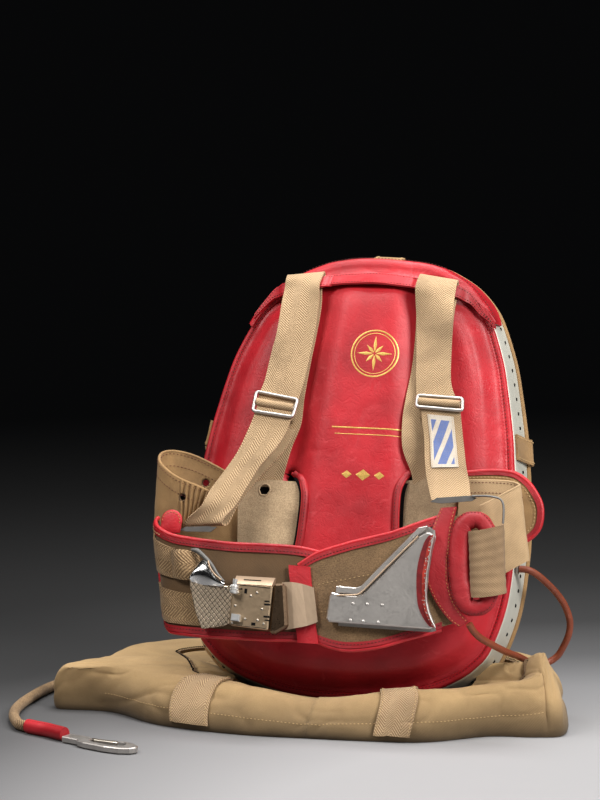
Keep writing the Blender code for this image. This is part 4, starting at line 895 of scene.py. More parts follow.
def build_yoke_band():
    """The sewn strip that the shoulder straps pass over."""
    rows = [(x, lift, low, x, lift, high) for x, lift, low, high in YOKE_BAND_ROWS]
    grid = band_grid(on_front(rows), 10, 10)
    cloth("yoke_band_leather", grid, LEATHER, leather, "yoke_band", relief=soft_relief(12, 0.35, 41),
          held="stretched", rests_on=("yoke_leather",))
    edge_stitches("yoke_band_stitching", grid, 2.2, LEATHER / 2 + 0.15, dark_thread)


def build_top_tab():
    """Canvas tab over the top of the rim and down the back."""
    left, right = -9.0, 25.0
    lift = CANVAS / 2 + 0.6
    rows = []
    for y, out in ((4.5, 3.2), (12, 4.2), (24, 6.4), (RIM_DEPTH + 1, 13.4), (RIM_DEPTH + 12, 12.4)):
        z = PACK_HEIGHT + out + lift
        rows.append((left, y, z - 0.8, right, y, z - 1.6))
    for height, out in ((500, 2.4), (470, 2.0), (440, 2.0), (415, 2.0)):
        ends = [(x, float(back_depth(x, height)) + lift + out, height) for x in (left, right)]
        rows.append((*ends[0], *ends[1]))
    grid = band_grid(rows, 8, 12)
    cloth("top_tab_canvas", grid, CANVAS, canvas, "top_tab", relief=soft_relief(14, 0.4, 44),
          rests_on=("rim", "back_cover"))
    edge_stitches("top_tab_stitching", grid, 3, CANVAS / 2 + 0.5, cream_thread)


def build_back_band():
    """Canvas band across the back whose ends wrap round the rim on both sides."""
    low, high = 295.0, 324.0
    lift = CANVAS / 2 + 0.8
    around = [(2, 1.2), (20, 4.6), (35, 9.2), (40, 11.8), (44.5, 12.0), (52, 9.0), (59.5, -3.0)]
    rows = []
    for side, steps in ((1, around), (-1, around[::-1])):
        half = [float(reach_at(math.atan2(side * 178, z - PACK_CENTRE_Z)))
                * math.sin(math.atan2(178, z - PACK_CENTRE_Z)) + lift for z in (low, high)]
        rows += [(side * (half[0] + out), y, low, side * (half[1] + out), y, high) for y, out in steps]
        if side > 0:
            for share in np.linspace(0.86, -0.86, 11):
                x = 180 * share
                rows.append((x, float(back_depth(x, low)) + lift + 1.4, low,
                             x, float(back_depth(x, high)) + lift + 1.4, high))
    grid = band_grid(rows, 6, 14)
    cloth("back_band_canvas", grid, CANVAS, canvas, "back_band", relief=soft_relief(13, 0.45, 46),
          held="stretched", rests_on=("back_cover",))
    edge_stitches("back_band_stitching", grid, 2.6, CANVAS / 2 + 0.5, cream_thread)


# ---------------------------------------------------------------- shoulder straps

# Each row: left edge x, lift over the front, z, then right edge x, lift, z
STRAP_L_ROWS = [
    (-112, 17, 326, -67, 12.5, 321), (-111, 22, 345, -66, 17, 340), (-106, 19, 366, -62, 15, 362),
    (-102, 16, 400, -58, 14, 391),
    (-98, 15.5, 424, -54, 14, 428), (-97, 18.2, 455, -52, 17, 462), (-97, 21, 476, -53, 20.4, 480),
    (-97, 21, 488, -53, 21, 492), (-97, 15, 495, -53, 15, 500), (-97, 9.6, 489, -53, 9.6, 494),
    (-97, 9.4, 478, -53, 9.4, 482), (-96, 8.2, 455, -51, 8.2, 457), (-98, 7, 420, -54, 7, 422),
    (-102, 7, 385, -58, 7, 386), (-104, 7, 350, -61, 7, 350), (-103, 7, 315, -62, 7.5, 318),
    (-110, 8, 288, -70, 8, 292), (-116, 7, 262, -76, 7, 264), (-119, 6, 244, -79, 6, 244)]
STRAP_R_ROWS = [
    (76, 16.4, 331, 124, 17.5, 330), (73.4, 16.1, 349, 120, 19, 350.5),
    (70.4, 15.2, 371, 111, 16, 373), (67, 13.6, 412, 108, 14, 410),
    (64, 14.5, 445, 107, 15.5, 440), (62, 18.6, 466, 106, 18.8, 462), (61, 21.6, 481, 105, 21.8, 475),
    (61, 21.6, 492, 105, 21.6, 486), (61, 15, 500.5, 105, 15, 495), (61, 8.6, 494, 105, 8.6, 488),
    (61, 8.6, 482, 105, 8.6, 476), (62, 8.2, 455, 106, 8.2, 452), (63, 6.2, 420, 106, 7, 418),
    (62, 5.4, 388, 104, 6.6, 389.5), (59, 5.2, 354, 100, 6.4, 357), (58, 5.6, 326, 97, 7.4, 329),
    (61, 6.6, 295, 100, 8.4, 300), (72, 8, 268, 109, 8, 272), (76, 7, 250, 110, 7, 252)]
STRAP_LOWER_L_ROWS = [
    (-109, 30, 333, -68, 25.5, 329), (-115, 32, 310, -72, 26.5, 309), (-125, 36, 280, -82, 30, 286),
    (-137, 42, 256, -98, 34, 263), (-149, 50, 234, -109, 40, 239), (-158, 58, 212, -118, 45, 218),
    (-176, 66, 197, -130, 51, 200), (-180, 62, 190, -132, 50, 194), (-173, 54, 192, -127, 43, 196),
    (-158, 46, 212, -118, 36, 220), (-144, 36, 238, -103, 28, 246), (-128, 28, 262, -86, 21, 270),
    (-116, 20, 288, -73, 14.5, 292), (-109, 15, 312, -66, 11, 312)]
STRAP_LOWER_R_ROWS = [
    (79, 21.3, 346, 125, 24.7, 343), (83, 21.9, 325, 129, 25.3, 322), (87, 23, 306, 133, 27, 302),
    (92, 29, 274, 139, 33, 276), (99, 36, 250, 145, 38, 256), (106, 44, 233, 150, 48, 237)]

# x, z and lift of the four corners of a strap slide
SLIDE_L_CORNERS = [(-113, 25.5, 351), (-113, 33.5, 327), (-67, 29, 323), (-65, 20.5, 345)]
SLIDE_R_CORNERS = [(74, 19.5, 356), (75, 25, 342), (129, 28.5, 339), (127, 22.5, 354)]


def strap_relief(seed, curl=0.5):
    """Webbing's slow waves, thick selvedges and slightly lifted edges."""
    def relief(u, v):
        edge = np.abs(u) / np.maximum(np.abs(u).max(axis=1, keepdims=True), 1e-6)
        return 0.55 * noise(u * 0.5, v, 24, seed) + curl * edge ** 6 * noise(v, u * 0, 18, seed + 1) \
            + 0.25 * np.exp(-((edge - 0.93) / 0.04) ** 2)
    return relief


def build_straps():
    """Both shoulder straps, whose free ends go down behind the suede panel, and their lower straps."""
    for seed, (name, table) in enumerate((("strap_l", STRAP_L_ROWS), ("strap_r", STRAP_R_ROWS),
                                          ("strap_lower_l", STRAP_LOWER_L_ROWS),
                                          ("strap_lower_r", STRAP_LOWER_R_ROWS))):
        cloth(name + "_webbing", band_grid(on_front(table), 12, 18), WEBBING, webbing, name,
              relief=strap_relief(50 + 3 * seed))


def corner_loop(corners, radius, steps=5):
    """A closed loop through corner points whose corners are rounded by a radius (mm)."""
    loop = []
    for before, corner, after in zip(np.roll(corners, 1, 0), corners, np.roll(corners, -1, 0)):
        first, last = (corner + unit(other - corner) * radius for other in (before, after))
        loop += [first * (1 - t) ** 2 + 2 * corner * t * (1 - t) + last * t * t
                 for t in np.linspace(0, 1, steps)]
    return np.array(loop)


def build_slides():
    """Two aluminium slides: a rounded frame, a middle bar and the webbing rolled over it."""
    for name, corners in (("slide_l", SLIDE_L_CORNERS), ("slide_r", SLIDE_R_CORNERS)):
        spots = np.array([(x, -(float(front_height(x, z)) + lift), z) for x, lift, z in corners])
        rod(name + "_frame", corner_loop(spots, 3.5), 2.0, aluminium, closed=True, sides=10, node=name)
        left, right = (spots[0] + spots[1]) / 2, (spots[3] + spots[2]) / 2
        rod(name + "_bar", np.linspace(left, right, 5), 1.4, aluminium)
        roll = np.linspace(left * 0.95 + right * 0.05, left * 0.05 + right * 0.95, 24) - (0, 0.6, 0)
        thick = 4.4 + 0.5 * noise(np.arange(24), 0 * np.arange(24), 5, 61)
        rod(name + "_roll", roll, thick, webbing, sides=18)


def build_label():
    """The woven label on the right lower strap, turned under and sewn along its two long edges."""
    grid = patch_grid(on_front(STRAP_LOWER_R_ROWS), 0.6, 3.1, 40, 0.16, 0.82, 20)
    offset = WEBBING / 2 + GAP + 0.6
    cloth("label_cloth", grid, 0.7, label_cloth, "label_r", offset=offset,
          relief=lambda u, v: 0.35 * noise(u, v, 9, 66), rests_on=("strap_lower_r_webbing",))
    edge_stitches("label_stitching", grid, 1.4, offset + 0.5, cream_thread, (1,), pitch=2.6, length=1.8,
                  radius=0.28)


# ---------------------------------------------------------------- belt, wings and piping

# Rows: upper edge x, y, z, then lower edge x, y, z
BELT_BACK_ROWS = [
    (-128, -39, 238, -122, -39, 163), (-112, -38, 247, -110, -38, 162), (-92, -36.8, 252, -89, -36.5, 163),
    (-62, -33.3, 252, -62, -33.3, 166), (6, -33.3, 256, 6, -33.3, 166), (74, -33.3, 260, 74, -33.3, 166),
    (100, -36.5, 264, 100, -36.5, 166), (136, -40, 263, 136, -40, 170)]
BELT_LEFT_ROWS = [
    (-212, -64, 194, -190, -62, 78), (-211, -74, 188, -187, -73, 76), (-203, -85, 180, -178, -84, 71),
    (-184, -92, 172, -160, -91, 69), (-154, -96, 168, -134, -95, 68), (-114, -95, 166, -102, -94, 68),
    (-74, -89, 167, -62, -89, 69), (-38, -81, 167, -32, -83, 71), (-12, -75, 163, -10, -78, 72)]
BELT_RIGHT_ROWS = [
    (-36, -86, 147, -19, -87, 75), (-16, -88, 161, 2, -89, 67), (22, -90, 175, 28, -91, 63),
    (64, -88, 188, 60, -90, 68), (94, -83.5, 201, 94, -86, 80), (120, -77.5, 212, 124, -79, 91),
    (138, -73.5, 218, 147, -74, 100)]
WING_LEFT_ROWS = [
    (-118, -33, 238, -108, -33, 172), (-142, -31.5, 256, -132, -32, 172), (-166, -30, 268, -160, -29, 172),
    (-190, -30, 277, -188, -29, 174), (-212, -33, 280, -212, -31, 174), (-223, -43, 275, -222, -39, 174),
    (-220, -56, 264, -218, -49, 175), (-206, -64, 252, -203, -56, 178), (-189, -67, 243, -187, -60, 184),
    (-168, -67, 236, -174, -62, 192), (-155, -66.5, 231, -163, -63, 198)]
WING_RIGHT_ROWS = [
    (131, -36, 268, 131, -36, 178), (166, -29, 275, 170, -29, 188), (189, -23, 274, 195, -23, 196),
    (206, -20, 262, 209, -20, 204), (218, -19, 246, 218.5, -19, 218)]
BAND_RIGHT_ROWS = [
    (130, -43.4, 261, 132, -43.4, 172), (164, -42.6, 263, 168, -42.6, 169), (187, -40, 263, 198, -40, 170),
    (197, -43, 260, 212, -42, 175), (198, -51, 257, 214, -50, 174), (188, -58, 249, 202, -57, 165),
    (172, -62.5, 238, 186, -62, 154), (160, -64.5, 231, 172, -64.5, 148)]
# Eyelets of the left wing, one in each layer: centre x, y, z and radius
EYELETS_LEFT = [(-185, -65, 223, 4.5), (-170, -30, 245.5, 5.0)]
TORN_HOLE = (-97.0, 240.0, 6.6)
FLANGE = 5.6


def punched(name, grid, thickness, look, node, holes, **settings):
    """A sheet with round holes (x, y, z, radius) left out of both its faces, with a rim between them."""
    obj = cloth(name, grid, thickness, look, node, **settings)
    edit = bmesh.new()
    edit.from_mesh(obj.data)
    edit.faces.ensure_lookup_table()
    faces = list(edit.faces)
    spots = (np.array([face.calc_center_median() for face in faces]) - PACK_PLACE) @ PACK_TURN / MM
    # each cell's two faces come one after the other, and every row ends with two rim faces
    columns = grid.shape[1] - 1
    cells = np.add.outer(np.arange(grid.shape[0] - 1) * (2 * columns + 2), 2 * np.arange(columns)).ravel()
    for x, y, z, radius in holes:
        inside = np.hypot(spots[cells, 0] - x, spots[cells, 2] - z) < radius
        inside &= np.abs(spots[cells, 1] - y) < 12
        gone = [faces[k + layer] for k in cells[inside] for layer in (0, 1)]
        around = {edge for face in gone for edge in face.edges}
        bmesh.ops.delete(edit, geom=gone, context="FACES")
        bmesh.ops.bridge_loops(edit, edges=[edge for edge in around if edge.is_valid and edge.is_boundary])
    edit.to_mesh(obj.data)
    edit.free()
    return obj


def piped_edge(name, rows, column, last):
    """Red leather piping along a belt's edge, with its sewn flange on the belt's front face.

    The cord's middle is the edge, moved out across the belt by the piping's radius."""
    edges = at_rows(rows, np.linspace(0.0, last, int(24 * last) + 2))
    edge, other = (edges[:, :3], edges[:, 3:]) if column == 0 else (edges[:, 3:], edges[:, :3])
    away = unit(edge - other)
    route = edge + away * (PIPING_RADIUS + GAP + 0.5)
    wave = 0.25 * noise(path_lengths(route), 0 * route[:, 0], 14, 71)
    rod(name + "_cord", route + away * wave[:, None], PIPING_RADIUS, piping_leather, node=name)
    edge = route - away * (PIPING_RADIUS + GAP)
    grid = edge[:, None] - away[:, None] * np.linspace(-1.5, FLANGE, 8)[None, :, None]
    normal = grid_normals(grid)
    normal *= -np.sign(normal[:, 3, 1].sum())
    lift = BELT / 2 + 0.9
    cloth(name + "_flange", grid + normal * lift, 0.9, band_leather,
          relief=lambda u, v: 0.25 * noise(u, v, 8, 72), held=None)
    return grid[:, 4] + normal[:, 4] * (lift + 0.65), normal[:, 5]


def belt_relief(seed):
    """A thick belt's soft waves."""
    return lambda u, v: 0.8 * noise(u * 0.6, v, 42, seed) + 0.35 * noise(u, v, 15, seed + 1)


def build_belt():
    """The suede panel with its torn hole, and the two halves of the belt with their piping and seams."""
    grid = band_grid(BELT_BACK_ROWS, 14, 60)
    x, z, radius = TORN_HOLE
    merged("torn_hole_shadow", [disc(x, z, radius + 1.5, lambda a, b: -34.0)], black_and_painted_shade)
    turns = full_turn(24)
    reach = radius + 0.7 * noise(24 * turns, 0 * turns, 9, 73)
    torn = np.stack([x + reach * np.cos(turns), 0 * turns - 38.6, z + reach * np.sin(turns)], -1)
    rod("torn_hole_edge", torn, 1.2, light_suede, closed=True, sides=8)
    punched("belt_back_suede", grid, 3.0, light_suede, "belt_back", [(x, -38.0, z, radius)],
            relief=lambda u, v: 0.6 * noise(u, v, 30, 74) + 0.3 * noise(u, v, 9, 75))
    left, right = band_grid(BELT_LEFT_ROWS, 14, 44), band_grid(BELT_RIGHT_ROWS, 16, 40)
    for name, node, half, look, seed in (("belt_left_canvas", "belt_left", left, dark_canvas, 76),
                                         ("belt_right_suede", "belt_right", right, suede, 78)):
        cloth(name, half, BELT, look, node, relief=belt_relief(seed), rests_on=("belt_back_suede",))
    runs = [piped_edge("piping_" + name, rows, column, last) for name, rows, column, last in (
        ("left_top", BELT_LEFT_ROWS, 0, 8.0), ("left_low", BELT_LEFT_ROWS, 1, 7.0),
        ("right_top", BELT_RIGHT_ROWS, 0, 5.6), ("right_low", BELT_RIGHT_ROWS, 1, 5.2))]
    # painted light: the left half's two seams are cream thread over their first stretch, where light falls on
    # them, and dark thread after
    painted_light_runs, deep = [], []
    for (line, up), share in zip(runs, (0.3, 0.1)):
        part = int(len(line) * share)
        painted_light_runs.append((line[:part], up[:part]))
        deep.append((line[part:], up[part:]))
    stitches("belt_stitching", painted_light_runs, cream_thread, pitch=4.0, length=2.6, radius=0.5)
    stitches("belt_dark_stitching", deep, dark_thread, pitch=4.0, length=2.6, radius=0.55)
    turn = left[left[..., 0].argmin(0), np.arange(left.shape[1])] + (-3.2, 0, 0)
    rod("belt_left_edge", turn[3:-3], 2.8, piping_leather, sides=10)
    stitches("belt_right_stitching", runs[2:], dark_thread, pitch=4.0, length=2.8, radius=0.5)
    up = -grid_normals(right)[14:]
    seams = [(right[14:, k] + up[:, k] * (BELT / 2 + 0.5), up[:, k]) for k in (13, 26)]
    stitches("belt_quilting", seams, cream_thread, pitch=5.2, length=2.4, radius=0.35)


def build_wings():
    """Canvas loops at both sides: pleats and eyelets on the left, leather binding on the right."""
    grid = band_grid(WING_LEFT_ROWS, 22, 54)

    def left_relief(u, v):
        top = np.abs(u) / np.maximum(np.abs(u).max(axis=1, keepdims=True), 1e-6)
        pleats = 2.3 * np.sin(v * 2 * math.pi / 5.4 + noise(u, v, 20, 83)) * ease((v / v.max() - 0.83) / 0.04)
        pleats = pleats * ease((u / u.max() + 0.75) / 0.4)
        return 0.7 * noise(u, v, 34, 81) + 0.3 * noise(u, v, 12, 82) + pleats + 0.3 * top ** 8
    punched("wing_left_canvas", grid, CANVAS, canvas, "wing_l", EYELETS_LEFT, relief=left_relief,
            held="gathered", rests_on=("belt_left_canvas",), slack=1.1)
    runs = [sheet_run(grid, inset, side, CANVAS / 2 + 0.6) for inset in (3.0, 17.0) for side in (-1, 1)]
    stitches("wing_left_stitching", runs, dark_thread, pitch=4.4, length=2.6, radius=0.4)
    merged("eyelet_shadow", [disc(-185, 223, 6.0, lambda a, b: -61.0)], black_and_painted_shade)
    for number, (x, y, z, radius) in enumerate(EYELETS_LEFT):
        turns = full_turn(28)
        loop = np.stack([x + radius * np.cos(turns), np.full(28, y), z + radius * np.sin(turns)], -1)
        near = np.linalg.norm(grid.reshape(-1, 1, 3) - loop[None], axis=2).argmin(0)
        depth = grid.reshape(-1, 3)[near, 1]
        loop[:, 1] = 0.4 * depth.mean() + 0.6 * depth
        rod("eyelet_ring_%d" % number, loop, 1.3, dark_canvas, closed=True, sides=8)
    right, band = band_grid(WING_RIGHT_ROWS, 18, 40), band_grid(BAND_RIGHT_ROWS, 18, 40)
    folded = {"held": "folded", "rests_on": ("belt_right_suede",)}
    cloth("wing_right_canvas", right, CANVAS, canvas, "wing_r",
          relief=lambda u, v: 0.7 * noise(u, v, 32, 84) + 0.3 * noise(u, v, 11, 85), **folded)
    cloth("band_right_webbing", band, CANVAS, rib_webbing, "band_r",
          relief=lambda u, v: 0.5 * noise(u, v, 28, 86) + 0.25 * noise(u, v, 9, 87), **folded)
    runs = [sheet_run(band, inset, side, CANVAS / 2 + 0.5, rows=slice(0, 70))
            for inset in (2.5, 14.0) for side in (-1, 1)]
    stitches("band_right_stitching", runs, dark_thread, pitch=4.0)
    build_wing_binding(right)
    rod("wing_left_hem", grid[:, 0] + grid_normals(grid)[:, 0] * 0.4, 1.7, canvas, sides=10)
    rod("wing_left_end_hem", grid[-1] + (0.6, -0.6, 0), 1.5, canvas, sides=10)
    rod("band_right_hem", band[:, 0], 1.4, rib_webbing, sides=10)


def build_wing_binding(grid):
    """Piping round the right wing's free edge: up, round the end and back, with a sewn binding inside it."""
    route = smooth_rows([(127, -37, 270.5), (140, -34.6, 272.5), (152, -32, 274.6), (166, -29.5, 276.2),
                         (180, -26, 276.4), (191, -23.2, 274.2), (203, -20.8, 266.5), (212, -19.4, 256),
                         (219.4, -19, 243), (221.5, -19, 230), (220, -19, 217), (214, -19.6, 207),
                         (204, -21, 199), (190, -24, 193)], 9)
    rod("piping_wing_cord", route, PIPING_RADIUS, piping_leather, node="piping_wing_r")
    away = unit((route - (176.0, -24.0, 232.0)) * (1, 0, 1))
    strip = route[:, None] - away[:, None] * np.linspace(0, 9.0, 8)[None, :, None]
    spots = grid.reshape(-1, 3)
    for j in range(strip.shape[1]):
        gap = np.hypot(strip[:, j, 0, None] - spots[:, 0], strip[:, j, 2, None] - spots[:, 2])
        strip[:, j, 1] = spots[gap.argmin(1), 1] - CANVAS / 2 - 0.9
    strip = smooth_rows(strip[::4].reshape(len(strip[::4]), -1), 4).reshape(-1, 8, 3)
    cloth("wing_binding", strip[:, :5], 0.9, band_leather, held=None)
    stitches("wing_binding_stitching", [(strip[:, 6] - (0, 0.4, 0), (0, -1, 0))], cream_thread, pitch=4.2)


def build_wraps():
    """Webbing keepers round the left end of the belt, and the swollen fold between them and the buckle."""
    offset = -(BELT / 2 + GAP + WEBBING / 2 + 0.3)
    bulge = patch_grid(BELT_LEFT_ROWS, 3.0, 3.95, 40, 0.13, 0.42, 20)
    bulge[..., 1] -= (9.0 * np.sin(np.linspace(0.15, math.pi, len(bulge)))[:, None] ** 0.8
                      * (1 - 0.35 * np.abs(np.linspace(-1, 1, bulge.shape[1]))[None] ** 3))
    upper = patch_grid(BELT_LEFT_ROWS, 0.1, 3.1, 60, 0.10, 0.44, 24)
    lower = patch_grid(BELT_LEFT_ROWS, 0.3, 3.9, 64, 0.58, 0.93, 24)
    for name, grid, node, seed in (("wrap_upper_webbing", upper, "wrap_l_upper", 91),
                                   ("wrap_lower_webbing", lower, "wrap_l_lower", 93),
                                   ("bulge_webbing", bulge, "webbing_l", 95)):
        cloth(name, grid, WEBBING, coarse_webbing, node, offset=offset, held="folded",
              rests_on=("belt_left_canvas",),
              relief=lambda u, v: -0.9 * noise(u, v, 26, seed) - 0.4 * noise(u, v, 9, seed + 1))


def build_round_tab():
    """A padded round leather tab, sewn round its edge."""
    turns = np.linspace(-0.3, math.pi + 0.3, 40)
    rim = np.vstack([np.stack([-192 + 12.5 * np.cos(turns), 194 + 12.5 * np.sin(turns)], -1),
                     [(-204.5, 188), (-204, 180), (-192.5, 179), (-181, 180), (-180.2, 188)]])

    def ring(share, out):
        """The outline shrunk towards the tab's centre, at a distance in front of its back."""
        x, z = (np.array([-192.0, 191.0]) + (rim - (-192.0, 191.0)) * share).T
        return np.stack([x, 0 * x - 77.1 - out, z], -1)
    rings = [ring(*step) for step in ((1.0, 0), (1.0, 0.6), (0.97, 1.8), (0.88, 2.3), (0.7, 3.0), (0.4, 3.6),
                                      (0.08, 3.8))]
    ring_mesh("round_tab", rings, leather, node="tab_l", fill=0.7)
    stitches("tab_stitching", [(ring(0.82, 2.8)[:40], (0, -1, 0))], orange_thread, pitch=3.6)


# ---------------------------------------------------------------- release ring

RING_CENTRE = (161.5, -84.6, 164.0)
RING_ACROSS = 20.5
RING_ALONG = 49.0
RING_PAD = 9.0
RING_PAD_DEPTH = 8.0
RING_TILT = 6.0
RING_STRIP_ROWS = [
    (119, -81.5, 224, 137, -83.5, 226), (112, -84.2, 202, 133.8, -84.2, 204),
    (108, -87.6, 176, 133.1, -85.6, 176), (107, -89, 160, 132.8, -86, 160),
    (111, -88, 140, 134.6, -85.6, 142), (123, -85.4, 118, 142, -84.5, 122),
    (139, -84, 100, 152, -83.5, 108), (150, -83.5, 93, 160, -83.5, 101)]


def ring_path(turn):
    """Centre line of the padded ring at an angle (radians), tilted in the front plane."""
    across, along = np.cos(turn), np.sin(turn)
    x = RING_ACROSS * np.sign(across) * np.abs(across) ** 0.7
    z = RING_ALONG * np.sign(along) * np.abs(along) ** 0.85
    tilt = math.radians(RING_TILT)
    return np.stack([RING_CENTRE[0] + x * math.cos(tilt) - z * math.sin(tilt),
                     np.full_like(x, RING_CENTRE[1]),
                     RING_CENTRE[2] + z * math.cos(tilt) + x * math.sin(tilt)], -1)


def build_ring():
    """The padded leather ring, its sewn strip and the webbing loop round its right arm."""
    count, sides = 160, 26
    turns = full_turn(count)
    centre = ring_path(turns)
    outward = np.cross((0, 1, 0), unit(ring_path(turns + 0.02) - ring_path(turns - 0.02)))
    around = full_turn(sides)
    rings = []
    for k in range(count):
        dent = 1 + 0.05 * noise(k * 2.2, around * 9, 11, 101) + 0.02 * noise(k * 2.2, around * 9, 4, 102)
        crown = 0.85 + 0.15 * np.abs(np.cos(around)) ** 0.5
        size = dent * crown
        # the left arm is a flatter, wider pad that reaches into the opening
        wide = 3.2 * max(0.0, -float(outward[k][0])) ** 0.7
        rings.append(centre[k] - outward[k] * wide
                     + outward[k] * ((RING_PAD + wide) * np.cos(around) * size)[:, None]
                     + np.array([0, 1, 0]) * (RING_PAD_DEPTH * np.sin(around) * size)[:, None])
    ring_mesh("ring_leather", rings, ring_leather, hoop=True, node="ring_pad", fill=0.8)
    seam = [(centre + outward * RING_PAD * 0.80 + np.array([0, -RING_PAD_DEPTH * 0.62, 0]),
             outward * 0.6 + np.array([0, -0.8, 0]))]
    stitches("ring_stitching", seam, dark_thread, pitch=3.8)
    strip = band_grid(RING_STRIP_ROWS, 14, 16)
    cloth("ring_strip_leather", strip, LEATHER, band_leather, "ring_strip", held="hung",
          rests_on=("ring_leather",),
          relief=lambda u, v: 0.5 * noise(u, v, 17, 104) - 0.7 * (np.abs(u) / np.abs(u).max()) ** 4)
    side = -1 if float(grid_normals(strip)[20, 8, 1]) > 0 else 1
    edge_stitches("ring_strip_stitching", strip, 2.0, LEATHER / 2 + 0.1, orange_thread, (side,), pitch=4.2,
                  length=2.8)
    rows = []
    for turn in full_turn(90):
        wide, deep = math.cos(turn), math.sin(turn)
        wide = math.copysign(abs(wide) ** 0.85, wide)
        deep = math.copysign(abs(deep) ** 0.85, deep)
        y = RING_CENTRE[1] + 12.6 * deep
        drop = 4.0 * max(0.0, -deep)
        rows.append((172 + 18.3 * wide, y, 205 + 4.5 * wide - drop,
                     180 + 18.3 * wide, y, 131 + 3 * wide - drop))
    loop = band_grid(rows, 1, 36, closed=True)
    cloth("ring_loop_webbing", loop, WEBBING, loop_webbing, "ring_loop", closed=True, held="folded",
          rests_on=("ring_leather",), relief=lambda u, v: 0.5 * noise(u, v, 16, 106) + 0.35 * np.sin(u * 2.4))


# ---------------------------------------------------------------- buckle and lever details

BUCKLE_LEFT = -103.0
BUCKLE_FRONT = -115.0
LEVER_FACE = -105.0
# Screw heads on the buckle's face (x, z) and the slots cut in it, drawn as black painted shade (x, z, width,
# height)
BUCKLE_SCREWS = [(-96, 113.5), (-80.5, 110.5), (-74, 114.5), (-97.5, 98.7), (-66.5, 96.5), (-85, 84.5),
                 (-70.5, 84), (-63.5, 80.5), (-99.5, 79.5)]
BUCKLE_SLOTS = [(-87, 115.5, 3.2, 5.6), (-61.5, 105.5, 6.0, 1.6), (-61.0, 102.0, 7.0, 2.0),
                (-60.5, 88.5, 7.5, 2.2), (-59.5, 84.6, 6.0, 1.4), (-75, 79.5, 4.8, 3.4),
                (-93, 117.5, 4.0, 1.6)]
LEVER_RIVETS = [(33.4, 109.8), (49.6, 109.9), (66.5, 110.3), (32.0, 91.2), (46.7, 91.0), (63.7, 90.9)]


def build_buckle_details():
    """Screws, cut slots, thumb screw, square stud and engraved frame of the quick-release box."""
    face = BUCKLE_FRONT
    heads = [dome((x, face, z), 1.5, 0.9) for x, z in BUCKLE_SCREWS]
    merged("buckle_screws", heads, steel)
    # painted shade: each slot is a thin black slab on the face
    slots = []
    for x, z, wide, high in BUCKLE_SLOTS:
        corners = [(x - wide / 2, z - high / 2), (x + wide / 2, z - high / 2),
                   (x + wide / 2, z + high / 2), (x - wide / 2, z + high / 2)]
        slots.append(block(corners, face - 0.12, face + 0.3))
    merged("buckle_slots", slots, black_and_painted_shade)
    side = [(face, 123.1), (face + 1.0, 124.4), (face + 11.5, 133.2), (face + 15.2, 133.2),
            (face + 15.2, 122.0)]
    merged("buckle_top", [bar(side, BUCKLE_LEFT + 0.6, BUCKLE_LEFT + 45.4)], pale_steel)
    # painted shade: a black bar in the top's slot
    slot = [(face + 5.0, 128.0), (face + 6.6, 129.35), (face + 6.6, 128.6), (face + 5.4, 127.6)]
    merged("buckle_top_slot", [bar(slot, -92.0, -72.0)], black_and_painted_shade)
    lines = [[(-101.5, low + 0.8), (-59.5, low - 1.2), (-59.5, high - 1.2), (-101.5, high + 0.8)]
             for low, high in ((76.2, 76.9), (121.2, 121.9))]
    merged("buckle_beading", [block(line, face - 0.35, face + 0.2) for line in lines], chrome)
    stud = [(-100.2, 81.6), (-90.4, 80.9), (-90.0, 88.6), (-99.8, 89.4)]
    top = [(x * 0.82 - 17.2, z * 0.82 + 15.3) for x, z in stud]
    merged("buckle_stud", [block(stud, face - 4.6, face + 0.2), block(top, face - 5.6, face - 4.4)],
           bright_metal)
    # the thumb screw stands on the box's front corner, clear of the flap's swing
    route = [(-99.6, face - 5.0, 111.5), (-99.4, face - 5.0, 113), (-99.0, face - 5.0, 118.5),
             (-98.8, face - 5.0, 121), (-98.7, face - 5.0, 122.4), (-98.5, face - 5.0, 127.5)]
    thick = np.interp(np.linspace(0, 5, 26), [0, 0.8, 2, 3, 3.3, 5], [3.6, 4.6, 4.6, 4.3, 2.4, 2.8])
    rod("thumb_screw", smooth_rows(route, 5), thick, bright_metal, sides=20)
    ribs = []
    for turn in full_turn(18):
        out = np.array([math.cos(turn), math.sin(turn), 0])
        ribs += [dome((-99.2, face - 5.0, z) + 4.5 * out, 0.65, 0.5, out, 6) for z in (115.8, 118.6)]
    merged("thumb_screw_knurl", ribs, steel)
    # the horn: a polished funnel that narrows to the thumb screw, under a curved grey tail
    upper = smooth_rows([(-153.6, -106, 133), (-150, -107, 142), (-142, -108.5, 147.6), (-134.5, -110, 146),
                         (-129.5, -111, 138.5), (-123, -111, 130), (-114, -111, 123.5)], 6)
    lower = smooth_rows([(-153.8, -106, 121), (-150, -107, 120.8), (-143, -108.5, 120.6), (-135, -110, 120.4),
                         (-128, -111, 120.2), (-121, -111, 120), (-113.6, -111, 119.6)], 6)
    steps = np.linspace(0, 1, 16)[None, :, None]
    funnel = upper[:, None] * (1 - steps) + lower[:, None] * steps
    funnel[..., 1] += 1.5 - 8.0 * np.sin(steps[..., 0] * math.pi) * np.linspace(1, 0.25, len(upper))[:, None]
    cloth("horn_funnel", funnel, 1.2, chrome, "buckle_horn", body="flap", held=None)
    tail = [(-157, -105, 159), (-150, -106, 158), (-141, -107.5, 152), (-131, -109, 143), (-123, -110, 133),
            (-114.5, -110.5, 125)]
    thick = np.interp(np.arange(31), [0, 6, 16, 30], [1.6, 3.0, 2.4, 1.4])
    rod("horn_tail", smooth_rows(tail, 6), thick, dull_steel, body="flap")
    rib = [(-134.5, -112, 147), (-131, -112.5, 139), (-125, -112.5, 132), (-117, -112, 126.5)]
    rod("horn_rib", smooth_rows(rib, 6), 0.9, pale_steel, body="flap", sides=8)


